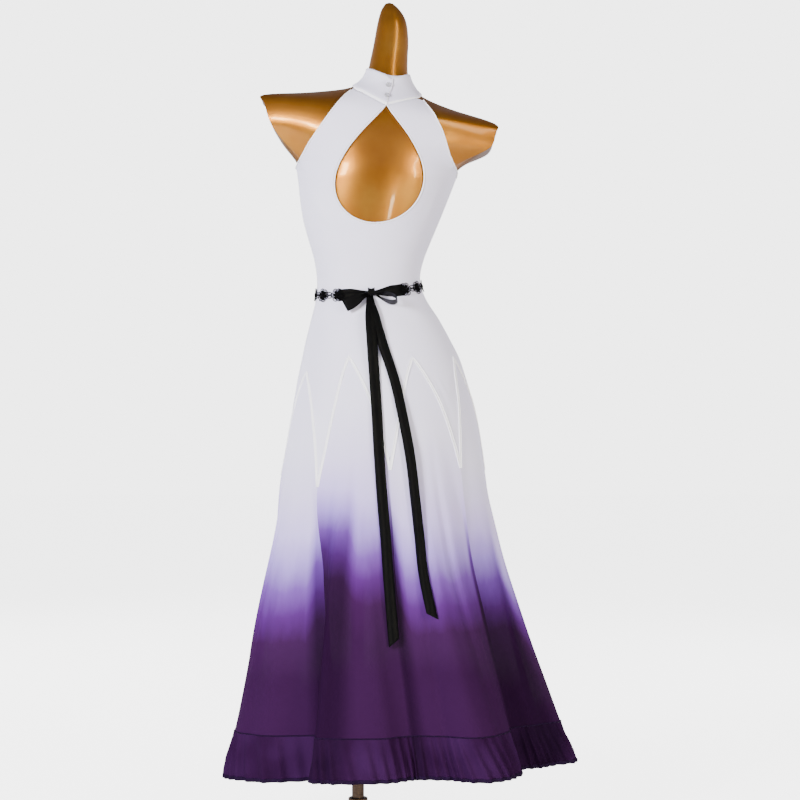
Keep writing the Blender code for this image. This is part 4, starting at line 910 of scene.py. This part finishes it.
def sweep(path, ring, closed=False):
    """Points and faces of a tube: a ring of (across, up) offsets carried along a path."""
    points = []
    last = len(path) - 1
    for i, point in enumerate(path):
        before = path[i - 1] if i or closed else point
        after = path[(i + 1) % len(path)] if i < last or closed else point
        along = (after - before).normalized()
        across = along.cross(Vector((0.0, 0.0, 1.0))).normalized()
        up = across.cross(along).normalized()
        points += [point + across * a + up * b for a, b in ring]
    sides = len(ring)
    faces = grid_faces(len(path), sides, True)
    if closed:
        start = last * sides
        faces += [(start + c, start + (c + 1) % sides, (c + 1) % sides, c) for c in range(sides)]
    else:
        faces += [tuple(reversed(range(sides))), tuple(range(last * sides, (last + 1) * sides))]
    return points, faces


def oval(half_across, half_up, sides):
    turns = [2.0 * math.pi * k / sides for k in range(sides)]
    return [(half_across * math.cos(turn), half_up * math.sin(turn)) for turn in turns]


def gather_lift(gore, share, down):
    """How far a gather stands off the wall: slanted, uneven, and flat where it is sewn to the gore."""
    slant = 0.055 * down
    place = share + slant * math.sin(math.pi * share)
    phase = GATHERS * place + 0.30 * math.sin(9.0 * place + 1.7 * gore) + 0.16 * math.sin(23.0 * place + gore)
    wave = math.sin(2.0 * math.pi * phase)
    uneven = 0.72 + 0.28 * math.sin(5.1 * phase + 2.3 * gore)
    ends = min(1.0, share * 24.0, (1.0 - share) * 24.0)
    return GATHER_HEIGHT * uneven * ends * (0.35 + 0.75 * smooth(down * 1.6)) * (wave - 0.25 * wave * wave)


def flounce_place(gore, share, down):
    """A point of the hem band, from its sewn edge (down 0) to its hem (down 1)."""
    low = HEM_Z - sag(gore, share)
    high = FLOUNCE_SEAM_Z - SEAM_SAG * sag(gore, share) - 0.001
    return skirt_point(gore, share, lerp(high, low, down), gather_lift(gore, share, down))


# The same chiffon closely gathered: it looks solid, with deeper and paler patches of dye, and painted shade
# where it lies doubled.
gathered, gathered_shader = new_material("gathered_dip_dyed_chiffon", {
    "Roughness": 0.8, "Specular IOR Level": 0.06})
gathered_patch = laid_pattern(gathered, "ShaderNodeTexNoise", {"Scale": 8.0, "Detail": 2.0})
gathered_painted_shade = add_node(gathered, "ShaderNodeAttribute", {}, attribute_name="painted_overlap_shade").outputs["Fac"]
gathered_patches_and_shade = add_node(gathered, "ShaderNodeMath", {0: gathered_painted_shade, 1: -0.35, 2: gathered_patch},
                           operation="MULTIPLY_ADD")
paint(gathered, gathered_shader, gathered_patches_and_shade.outputs["Value"],
      ((0.05, "#190820"), (0.40, "#250C2D"), (0.62, "#2F143A")))
gathered_crepe = laid_pattern(gathered, "ShaderNodeTexNoise", {"Scale": 850.0})
paint(gathered, gathered_shader, gathered_crepe, raised=(0.25, 0.0004))
# Chiffon rolled tight and oversewn: a thin, nearly black edge.
rolled, rolled_shader = new_material("rolled_chiffon_edge", {
    "Base Color": linear("#15061F"), "Roughness": 0.7, "Specular IOR Level": 0.15})
rolled_crepe = laid_pattern(rolled, "ShaderNodeTexNoise", {"Scale": 420.0, "Detail": 4.0})
paint(rolled, rolled_shader, rolled_crepe, ((0.3, "#12041B"), (0.7, "#1E0A2C")), (0.35, 0.0006))
for gore in range(GORES):
    width, length = FLOUNCE_CUTS[gore]
    points, overlap_shade_amounts = [], []
    for r in range(FLOUNCE_ROWS + 1):
        for c in range(FLOUNCE_COLUMNS + 1):
            points.append(flounce_place(gore, c / FLOUNCE_COLUMNS, r / FLOUNCE_ROWS))
            # Painted shade where the hem band lies doubled.
            overlap_shade_amounts.append(painted_overlap_shade(gore, c / FLOUNCE_COLUMNS))
    hem_path = [flounce_place(gore, c / FLOUNCE_COLUMNS, 0.96) for c in range(FLOUNCE_COLUMNS + 1)]
    hem_tube = sweep(hem_path, oval(HEM_HALF_THICK, HEM_HALF_HEIGHT, 8))
    hem = add_piece(f"rolled_hem_{gore + 1}", *hem_tube, rolled, "ombre_chiffon")
    seam_path = [flounce_place(gore, c / 64.0, 0.0) for c in range(65)]
    seam_tube = sweep(seam_path, oval(SEAM_RADIUS, SEAM_RADIUS, 6))
    seam = add_piece(f"hem_band_seam_{gore + 1}", *seam_tube, rolled, "ombre_chiffon")
    faces = grid_faces(FLOUNCE_ROWS + 1, FLOUNCE_COLUMNS + 1)
    band = add_piece(f"hem_band_{gore + 1}", points, faces, gathered, "ombre_chiffon",
                     [f"flounce_{gore + 1}"], 180.0)
    add_layer(band, "painted_overlap_shade", overlap_shade_amounts)

# The zigzag hip seam: the jersey's turned edge stitched over the chiffon, which shows as a raised band with
# a row of stitching along each side.
BAND_HALF = 0.0032
BAND_STEPS = 44
BAND_PROFILE = ((-1.0, 0.0), (-0.88, 0.0014), (-0.62, 0.0017), (-0.34, 0.0005), (0.0, 0.0006), (0.34, 0.0005),
                (0.62, 0.0017), (0.88, 0.0014), (1.0, 0.0))
seam_points, seam_faces = [], []
for gore in range(GORES):
    path, normals = [], []
    for step in range(BAND_STEPS + 1):
        angle, z = seam_place(gore, step / BAND_STEPS)
        surface = skin_point(z, angle, CLOTH_GAP + STRETCH_WALL)
        path.append(surface)
        normals.append((surface - skin_point(z, angle, 0.0)).normalized())
    start = len(seam_points)
    for i, (point, normal) in enumerate(zip(path, normals)):
        along = (path[min(i + 1, BAND_STEPS)] - path[max(i - 1, 0)]).normalized()
        across = along.cross(normal).normalized()
        seam_points += [point + across * BAND_HALF * a + normal * rise for a, rise in BAND_PROFILE]
    seam_faces += [tuple(start + i for i in face) for face in grid_faces(BAND_STEPS + 1, len(BAND_PROFILE))]
# Doubled jersey: whiter than one layer, and ribbed by its row of stitches.
seam_jersey, seam_shader = new_material("doubled_jersey_seam", {
    "Base Color": linear("#F3F1F8"), "Roughness": 0.6, "Sheen Weight": 0.1})
seam_stitch = laid_pattern(seam_jersey, "ShaderNodeTexWave", {"Scale": 120.0, "Distortion": 1.5},
                           bands_direction="Z")
paint(seam_jersey, seam_shader, seam_stitch, ((0.2, "#EFECF8"), (0.6, "#FCFBFF")), (0.3, 0.0006))
add_piece("hip_seam_band", seam_points, seam_faces, seam_jersey, "white_stretch")

# The stand collar: a doubled jersey band, its left end lapped over the right at the centre back, with a
# stitched edge along the top and where it joins the bodice.
COLLAR_START = 12.0
COLLAR_STOP = -371.0
COLLAR_COLUMNS = 130
COLLAR_ROWS = 8


def collar_point(degrees, t, lift=0.0):
    """A point of the collar, from its lower edge (t 0) to its upper edge (t 1)."""
    facing = max(0.0, back_facing(degrees))
    bare = smooth((0.62 - abs(math.cos(math.radians(degrees)))) / 0.30)
    low = neck_height(degrees) + 0.0008 + 0.0025 * bare
    high = 1.5455 + 0.006 * math.sin(math.radians(degrees)) - 0.0145 * facing ** 3
    high -= 0.0075 * math.exp(-((degrees - COLLAR_STOP) / 9.0) ** 2)
    high -= 0.0050 * math.exp(-((degrees - COLLAR_START) / 8.0) ** 2)
    lap = smooth((-300.0 - degrees) / 36.0)
    roll = 0.0007 * (math.exp(-(t * 7.0) ** 2) + math.exp(-((1.0 - t) * 9.0) ** 2))
    wave = 0.0005 * math.sin(math.radians(degrees) * 5.0 + 2.0) * math.sin(math.pi * t)
    gap = lerp(CLOTH_GAP, 0.0008, bare) + lap * (STRETCH_WALL + 0.0007)
    return neck_point(lerp(low, high, t), degrees, gap + roll + wave + lift)


collar_points = [collar_point(lerp(COLLAR_START, COLLAR_STOP, c / COLLAR_COLUMNS), r / COLLAR_ROWS)
                 for r in range(COLLAR_ROWS + 1) for c in range(COLLAR_COLUMNS + 1)]
collar_cloth = add_piece("stand_collar_band", collar_points, grid_faces(COLLAR_ROWS + 1, COLLAR_COLUMNS + 1),
                         jersey, "white_stretch", ["collar"], 60.0)
collar_wall = collar_cloth.modifiers.new("wall", "SOLIDIFY")
collar_wall.thickness = 0.0012
collar_wall.offset = 1.0
collar_seam_drop = Vector((0.0, 0.0, -0.0007))
collar_seam_path = [collar_point(lerp(COLLAR_START, COLLAR_STOP, c / 120.0), 0.0, 0.0009) + collar_seam_drop
                    for c in range(121)]
collar_seam_points, collar_seam_faces = sweep(collar_seam_path, oval(0.0010, 0.0029, 10))
for i, centre in enumerate(collar_seam_path):
    degrees = lerp(COLLAR_START, COLLAR_STOP, i / 120.0)
    corner = math.cos(math.radians(COLLAR_CORNER_DEGREES - 5.0))
    beyond = smooth((corner - math.cos(math.radians(degrees))) / 0.12)
    for k in range(10):
        point = collar_seam_points[i * 10 + k]
        collar_seam_points[i * 10 + k] = centre + (point - centre) * (1.0 - 0.62 * beyond)
add_piece("collar_seam", collar_seam_points, collar_seam_faces, seam_jersey, "white_stretch")
lap_path = [collar_point(COLLAR_STOP, t / 8.0, 0.0012) for t in range(9)]
add_piece("collar_lap_edge", *sweep(lap_path, oval(0.0008, 0.0008, 6)), seam_jersey, "white_stretch")

# Two clear acrylic buttons close the collar at the centre back, turned and polished, each caught by a loop of
# white thread.
BUTTONS = (("clear_button_upper", "button_upper"), ("clear_button_lower", "button_lower"))
BUTTON_SIDES = 40
BUTTON_PROFILE = ((0.0012, 0.0009), (0.0026, 0.0008), (0.0036, 0.0014), (0.0045, 0.0015), (0.0050, 0.0008),
                  (0.0049, -0.0006), (0.0042, -0.0014), (0.0020, -0.0015))
# Acrylic, turned and polished: clear and glossy, with a milky middle where light gathers.
acrylic, acrylic_shader = new_material("clear_polished_acrylic", {
    "Base Color": linear("#E6E6EA"), "Roughness": 0.06, "IOR": 1.49, "Transmission Weight": 0.75})
acrylic_cloud = laid_pattern(acrylic, "ShaderNodeTexNoise", {"Scale": 300.0})
paint(acrylic, acrylic_shader, acrylic_cloud, ((0.3, "#DADAE0"), (0.7, "#F0F0F2")), (0.05, 0.0002))
# Polyester thread, twisted: soft white with a slanting lay.
thread, thread_shader = new_material("white_polyester_thread", {
    "Base Color": linear("#DAD8E2"), "Roughness": 0.5})
thread_twist = laid_pattern(thread, "ShaderNodeTexWave", {"Scale": 400.0}, bands_direction="DIAGONAL")
paint(thread, thread_shader, thread_twist, ((0.2, "#B9B6C6"), (0.7, "#E6E4EE")), (0.4, 0.0003))


def box_centre(node):
    """The middle of a solid's box."""
    low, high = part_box(node)
    return (Vector(low) + Vector(high)) / 2.0


for name, node in BUTTONS:
    centre = box_centre(node)
    section = section_at(centre.z)
    normal = Vector((centre.x - section["cx"], centre.y - section["cy"], 0.012)).normalized()
    turn = Vector((0.0, 0.0, 1.0)).rotation_difference(normal).to_matrix()
    points = []
    for radius, height in BUTTON_PROFILE:
        for step in range(BUTTON_SIDES):
            angle = 2.0 * math.pi * step / BUTTON_SIDES
            rim = Vector((radius * math.cos(angle), radius * math.sin(angle), height))
            points.append(centre + turn @ rim)
    rings = len(BUTTON_PROFILE)
    faces = grid_faces(rings, BUTTON_SIDES, True)
    faces.append(tuple(reversed(range(BUTTON_SIDES))))
    faces.append(tuple(range((rings - 1) * BUTTON_SIDES, rings * BUTTON_SIDES)))
    add_piece(name, points, [face[::-1] for face in faces], acrylic, "clear_acrylic", [node], 60.0)
    loop = []
    for step in range(24):
        angle = 2.0 * math.pi * step / 24
        reach = 0.0057 + 0.0018 * max(0.0, math.cos(angle)) ** 3
        loop.append(centre + turn @ Vector((-reach * math.cos(angle), 0.0054 * math.sin(angle), -0.0010)))
    add_piece(name + "_loop", *sweep(loop, oval(0.0004, 0.0004, 6), True), thread, "white_stretch")

# The bindings: narrow folded jersey round the keyhole and armholes, sewn on under tension, so that the one
# round the keyhole's foot is faintly shirred.
BINDING_RADIUS = 0.0016


def beside_edge(edge, inside, reach):
    """A path beside a cloth edge, in the middle of its wall; inside holds points within the cloth."""
    path = []
    last = len(edge) - 1
    for i, point in enumerate(edge):
        normal = (GUIDE.find_nearest(point)[0] - point).normalized() * -1.0
        along = (edge[min(last, i + 1)] - edge[max(0, i - 1)]).normalized()
        away = normal.cross(along).normalized()
        if away.dot(inside[i] - point) > 0.0:
            away = -away
        path.append(point + away * reach + normal * STRETCH_WALL / 2.0)
    return path


def densify(path, steps):
    """A smooth curve through the path, with this many points to each span."""
    last = len(path) - 1
    dense = []
    for i in range(last):
        a, b, c, d = (path[max(0, min(last, i + step))] for step in (-1, 0, 1, 2))
        for k in range(steps):
            t = k / steps
            dense.append(0.5 * (2.0 * b + (c - a) * t + (2.0 * a - 5.0 * b + 4.0 * c - d) * t * t
                                + (3.0 * b - a - 3.0 * c + d) * t ** 3))
    return dense + [path[-1]]


left_edge, right_edge = ([line[0] for line in back_halves[side]] for side in (1, -1))
left_inside, right_inside = ([line[3] for line in back_halves[side]] for side in (1, -1))
hole_edge = list(reversed(left_edge[1:])) + [left_edge[0]] + right_edge[1:]
hole_inside = (list(reversed(left_inside[1:])) + [left_edge[0] - Vector((0.0, 0.0, 0.02))] + right_inside[1:])
hole_path = beside_edge(hole_edge, hole_inside, BINDING_RADIUS + SEAM_GAP)
for i, point in enumerate(hole_path):
    side = 1.0 if i < len(hole_path) // 2 else -1.0
    down = (KEYHOLE_APEX[1] - point.z) / (KEYHOLE_APEX[1] - KEYHOLE_FOOT[1])
    middle = lerp(KEYHOLE_APEX[0], KEYHOLE_FOOT[0], down)
    if down < 0.5:
        point.x = middle + side * max(side * (point.x - middle), BINDING_RADIUS * 0.95)
hole_path = densify(hole_path, 5)
hole_points, hole_faces = sweep(hole_path, oval(BINDING_RADIUS, BINDING_RADIUS, 10))
for i, centre in enumerate(hole_path):
    gathers = 1.0 + 0.16 * math.sin(2.1 * i) * smooth((1.36 - centre.z) / 0.09)
    for k in range(10):
        point = hole_points[i * 10 + k]
        hole_points[i * 10 + k] = centre + (point - centre) * gathers
add_piece("keyhole_edging", hole_points, hole_faces, seam_jersey, "white_stretch", ["keyhole_binding"])
ARM_ROW = 4 * len(SIDE_ROW_Z)
ARMHOLE_EDGINGS = (("armhole_edging_left", 1, "armhole_binding_left"),
                   ("armhole_edging_right", -1, "armhole_binding_right"))
for name, side, node in ARMHOLE_EDGINGS:
    back_rows, front_rows = back_halves[side][ARM_ROW:-1], front_halves[side][ARM_ROW:-1]
    edge = [line[-1] for line in reversed(back_rows)] + [line[-1] for line in front_rows[1:]]
    inside = [line[-6] for line in reversed(back_rows)] + [line[-6] for line in front_rows[1:]]
    path = densify(beside_edge(edge, inside, BINDING_RADIUS + SEAM_GAP), 2)
    tube = sweep(path, oval(BINDING_RADIUS, BINDING_RADIUS, 10))
    add_piece(name, *tube, seam_jersey, "white_stretch", [node])

# The belt lace: black guipure, six-petalled flowers worked in cord with bars between the petals, joined by
# small rings. It lies round the waist, tacked to the bodice under the ribbon's ends.
BELT_GAP = 0.0056
FLOWERS_A_SIDE = 7
FLOWER_RADIUS = 0.0135
LACE_RISE = 0.0010
CORD_RADIUS = 0.00085
PETALS = 6
FIRST_FLOWER_DEGREES = {1: 36.0, -1: 42.0}


def belt_z(degrees):
    angle = math.radians(degrees)
    return 1.098 - 0.0085 * math.sin(angle) - 0.010 * math.cos(angle)


def belt_arc(degrees):
    """How many metres of belt one degree takes here."""
    section = section_at(belt_z(degrees))
    angle = math.radians(degrees)
    depth = section["back"] if math.cos(angle) > 0.0 else section["front"]
    return math.hypot(section["half"] * math.cos(angle), depth * math.sin(angle)) * math.pi / 180.0


def belt_place(side, degrees, along, up, offset):
    """A point of the belt: so far along and up from the place at these degrees on this side."""
    angle = side * (degrees + along / belt_arc(degrees))
    return skin_point(belt_z(angle) + up, angle, offset)


def flower_angles(side):
    """Flower centres at an even spacing round the waist, from the last one by the ribbon to the front."""
    first = FIRST_FLOWER_DEGREES[side]
    angles = [first]
    total = sum(belt_arc(side * a) for a in range(int(first), 180))
    pitch = total / (FLOWERS_A_SIDE - 0.5)
    degrees, run = first, 0.0
    while len(angles) < FLOWERS_A_SIDE:
        degrees += 0.5
        run += belt_arc(side * degrees) * 0.5
        if run >= pitch:
            angles.append(degrees)
            run -= pitch
    return angles


def petal_point(angle, share, reach):
    """A point on a petal's outline: share runs round the loop from the flower's middle and back."""
    far = reach * (0.20 + 0.80 * math.sin(math.pi * share) ** 0.75)
    swing = 0.46 * math.sin(2.0 * math.pi * share) * (0.55 + 0.45 * math.sin(math.pi * share))
    return far * math.cos(angle + swing), far * math.sin(angle + swing)


def lace_cord(side, degrees, outline, rise, radius):
    """A closed loop of cord laid on the belt along an outline."""
    path = [belt_place(side, degrees, along, up, BELT_GAP + rise) for along, up in outline]
    return sweep(path, oval(radius, radius, 5), True)


# Guipure, embroidered in cord: a dead matt black, its stitches just raised.
guipure, guipure_shader = new_material("black_guipure_lace", {
    "Base Color": linear("#060607"), "Roughness": 0.75, "Specular IOR Level": 0.12})
guipure_stitch = laid_pattern(guipure, "ShaderNodeTexWave", {"Scale": 260.0, "Distortion": 6.0})
paint(guipure, guipure_shader, guipure_stitch, ((0.2, "#030304"), (0.8, "#0A0A0C")), (0.5, 0.0004))
BELT_LACES = (("belt_flowers_left", 1, "belt_lace_left"), ("belt_flowers_right", -1, "belt_lace_right"))
for name, side, node in BELT_LACES:
    points, faces = [], []
    angles = flower_angles(side)
    for index, degrees in enumerate(angles):
        cords = []
        for petal in range(PETALS):
            angle = 2.0 * math.pi * (petal + 0.25 * (index % 2)) / PETALS
            outer = [petal_point(angle, k / 22.0, FLOWER_RADIUS) for k in range(22)]
            inner = [petal_point(angle, k / 14.0, FLOWER_RADIUS * 0.66) for k in range(14)]
            cords += [(outer, LACE_RISE, CORD_RADIUS), (inner, LACE_RISE * 1.2, CORD_RADIUS * 0.8)]
        for radius, rise in ((0.0028, 0.0018), (0.0013, 0.0022)):
            cords.append((oval(radius, radius, 16), rise, CORD_RADIUS))
        for outline, rise, radius in cords:
            start = len(points)
            more, shapes = lace_cord(side, degrees, outline, rise, radius)
            points += more
            faces += [tuple(start + i for i in face) for face in shapes]
        start = len(points)
        points.append(belt_place(side, degrees, 0.0, 0.0, BELT_GAP + LACE_RISE * 0.9))
        for k in range(48):
            angle = 2.0 * math.pi * k / 48.0
            petals = math.cos(PETALS * (angle - 0.5 * math.pi * (index % 2) / PETALS))
            reach = FLOWER_RADIUS * (0.64 + 0.18 * petals)
            along, up = reach * math.cos(angle), reach * math.sin(angle)
            points.append(belt_place(side, degrees, along, up, BELT_GAP + 0.0004))
        faces += [(start, start + 1 + k, start + 1 + (k + 1) % 48)[::-side] for k in range(48)]
        if index + 1 < len(angles):
            middle = (degrees + angles[index + 1]) / 2.0
            for up in (0.0034, -0.0034):
                ring = [(a, up + b) for a, b in oval(0.0052, 0.0028, 16)]
                start = len(points)
                more, shapes = lace_cord(side, middle, ring, LACE_RISE, CORD_RADIUS)
                points += more
                faces += [tuple(start + i for i in face) for face in shapes]
    add_piece(name, points, faces, guipure, "black_guipure", [node])

# The ribbon belt: 25 mm black satin, tacked under the last flower at each side and tied at the centre back
# in a knot with one flat and one open loop, its two tails hanging over the skirt.
RIBBON_WIDTH = 0.025
RIBBON_WALL = 0.0005
TAIL_LIFT = 0.0032
TAIL_STEPS = 110
TAIL_COLUMNS = 12
KNOT_DEGREES = -2.0
KNOT_SIZE = (0.0145, 0.013, 0.0150)
# The middle line of each ribbon tail, x and z, from the knot down.
TAIL_LEFT = ((-0.0245, 1.084), (-0.0265, 1.050), (-0.0300, 0.994), (-0.0385, 0.874), (-0.0446, 0.771),
             (-0.0510, 0.680), (-0.0580, 0.603), (-0.0635, 0.530), (-0.0745, 0.401))
TAIL_RIGHT = ((-0.0262, 1.084), (-0.0320, 1.055), (-0.0498, 0.992), (-0.0754, 0.913), (-0.0929, 0.835),
              (-0.1070, 0.757), (-0.1160, 0.680), (-0.1245, 0.603), (-0.1325, 0.530), (-0.1490, 0.4526))


def smooth_path(path, count):
    """Evenly numbered points on a smooth curve through a short table of points."""
    dense = densify([Vector((x, z)) for x, z in path], 40)
    return [dense[round(i * (len(dense) - 1) / (count - 1))] for i in range(count)]


def add_ribbon(name, rows, nodes):
    """A satin ribbon through rows of points across its width."""
    columns = len(rows[0])
    points = [point for row in rows for point in row]
    piece = add_piece(name, points, grid_faces(len(rows), columns, False), satin, "black_satin", nodes, 60.0)
    wall = piece.modifiers.new("wall", "SOLIDIFY")
    wall.thickness = RIBBON_WALL
    wall.offset = 1.0
    return piece


# Satin ribbon, woven with long floats: black with a dull, broad sheen and fine lines along it.
satin, satin_shader = new_material("black_satin_ribbon", {
    "Base Color": linear("#060608"), "Roughness": 0.48, "Specular IOR Level": 0.10})
satin_float = laid_pattern(satin, "ShaderNodeTexNoise", {"Scale": 1.0}, (500.0, 500.0, 30.0))
paint(satin, satin_shader, satin_float, ((0.3, "#030304"), (0.7, "#080809")), (0.12, 0.0003))
for name, side, node in (("belt_ribbon_left", 1, "ribbon_left"), ("belt_ribbon_right", -1, "ribbon_right")):
    last = flower_angles(side)[0]
    stop = last - 0.0030 / belt_arc(side * last)
    rows = []
    for c in range(25):
        t = c / 24.0
        degrees = lerp(side * KNOT_DEGREES + 0.25, stop, t)
        width = lerp(0.008, RIBBON_WIDTH * 0.96, smooth(t * 1.5))
        folds = 0.0011 * (1.0 - t)
        level = BELT_GAP - 0.0002 - 0.0012 * smooth(t * 1.4)
        line = []
        for k in range(11):
            share = k / 10.0
            lift = level + folds * math.sin(share * 13.0 + side)
            line.append(belt_place(side, degrees, 0.0, width * (share - 0.5), lift))
        rows.append(line)
    if side < 0:
        rows.reverse()
    add_ribbon(name, rows, [node])

knot_centre = box_centre("bow_knot")
knot_rows = []
for r in range(41):
    turn = 2.0 * math.pi * r / 40.0
    line = []
    for k in range(13):
        share = k / 12.0 - 0.5
        pinch = 1.0 - 0.14 * math.cos(2.0 * math.pi * share)
        fold = 1.0 + 0.07 * math.sin(share * 24.0 + 1.5 * math.sin(turn))
        up = KNOT_SIZE[2] / 2.0 * math.copysign(abs(math.cos(turn)) ** 0.75, math.cos(turn)) * pinch * fold
        out = KNOT_SIZE[1] / 2.0 * math.copysign(abs(math.sin(turn)) ** 0.75, math.sin(turn)) * pinch * fold
        line.append(knot_centre + Vector((share * KNOT_SIZE[0] * 0.96 + 0.0008 * math.cos(turn), out, up)))
    knot_rows.append(line)
knot_points = [point for line in knot_rows for point in line]
knot_faces = [face[::-1] for face in grid_faces(41, 13)]
add_piece("bow_knot_wrap", knot_points, knot_faces, satin, "black_satin", ["bow_knot"], 60.0)


def add_loop(name, node, start, along, out, across, length, swell):
    """One loop of the bow: a ribbon that leaves the knot, turns over and comes back to it."""
    rows = []
    steps = 56
    for k in range(steps + 1):
        angle = 2.0 * math.pi * k / steps
        far = (1.0 - math.cos(angle)) / 2.0
        width = lerp(0.007, RIBBON_WIDTH * 0.98, smooth(far * 1.35))
        line = []
        for j in range(11):
            share = j / 10.0 - 0.5
            pleat = 0.0016 * math.cos(share * 15.0) * (1.0 - smooth(far * 1.5))
            line.append(start + along * length * far + out * (swell * math.sin(angle) * far ** 0.5 + pleat)
                        + across * width * share)
        rows.append(line)
    add_ribbon(name, rows, [node])


side_reach = KNOT_SIZE[0] / 2.0 - 0.0015
left_way = Vector((0.88, 0.0, -0.475)).normalized()
add_loop("bow_loop_flat", "bow_loop_left", knot_centre + Vector((side_reach, 0.001, -0.003)), left_way,
         Vector((0.0, 1.0, 0.0)), Vector((-left_way.z, 0.0, left_way.x)), 0.054, 0.0050)
right_way = Vector((-0.955, 0.0, -0.29)).normalized()
add_loop("bow_loop_open", "bow_loop_right", knot_centre + Vector((-side_reach, 0.006, -0.003)), right_way,
         Vector((-right_way.z, 0.0, right_way.x)), Vector((0.05, 0.94, 0.33)), 0.048, 0.0105)
CARRIERS = ("bodice_back_cloth", "skirt_gore_1", "skirt_gore_2", "skirt_gore_7", "skirt_gore_8")
carrier_points, carrier_faces = [], []
for name in CARRIERS:
    mesh = bpy.data.objects[name].data
    start = len(carrier_points)
    carrier_points += [vertex.co.copy() for vertex in mesh.vertices]
    carrier_faces += [tuple(start + i for i in face.vertices) for face in mesh.polygons]
carriers = BVHTree.FromPolygons(carrier_points, carrier_faces)
TAILS = (
    ("bow_tail_long", "bow_tail_left", TAIL_LEFT, 0.0019, 0.016, 0.86, 0.0052, (0.025, 0.70)),
    ("bow_tail_short", "bow_tail_right", TAIL_RIGHT, 0.0, -0.016, 0.80, 0.0062, (0.025, 0.66)),
)
for name, node, path, extra, slant, turned, bulge, flat in TAILS:
    middle = smooth_path(path, TAIL_STEPS)
    rows, depths = [], []
    for i, place in enumerate(middle):
        along = (middle[min(TAIL_STEPS - 1, i + 1)] - middle[max(0, i - 1)]).normalized()
        cut = slant * smooth((i - TAIL_STEPS + 6.0) / 5.0)
        row = []
        shown = RIBBON_WIDTH * lerp(0.45, turned, smooth((1.084 - place.y) / 0.045))
        for k in range(TAIL_COLUMNS + 1):
            share = k / TAIL_COLUMNS - 0.5
            row.append(Vector((place.x - along.y * shown * share + along.x * cut * share, 0.0,
                               place.y + along.x * shown * share + along.y * cut * share)))
        rows.append(row)
        hits = [carriers.ray_cast(Vector((p.x, 1.0, p.z)), Vector((0.0, -1.0, 0.0)))[0] for p in row[::2]]
        depths.append(max(hit.y for hit in hits if hit))
    for _ in range(900):
        for i in range(1, TAIL_STEPS - 1):
            depths[i] = max(depths[i], (depths[i - 1] + depths[i + 1]) / 2.0)
    for i, (row, depth) in enumerate(zip(rows, depths)):
        lift = TAIL_LIFT + extra * smooth((row[0].z - 0.93) / 0.06)
        t = i / (TAIL_STEPS - 1.0)
        for k, point in enumerate(row):
            share = k / TAIL_COLUMNS - 0.5
            twist = 0.0016 * math.sin(7.0 * t + 40.0 * extra) * share * 2.0 * smooth(t * 4.0)
            curl = bulge * (1.0 - 4.0 * share * share) * (0.8 + 0.2 * math.sin(9.0 * t + 1.0))
            point.y = depth + lift + 0.0008 + max(-0.0008, twist + curl * smooth(t * 6.0))
    add_ribbon(name, [row[::-1] for row in rows], [node])
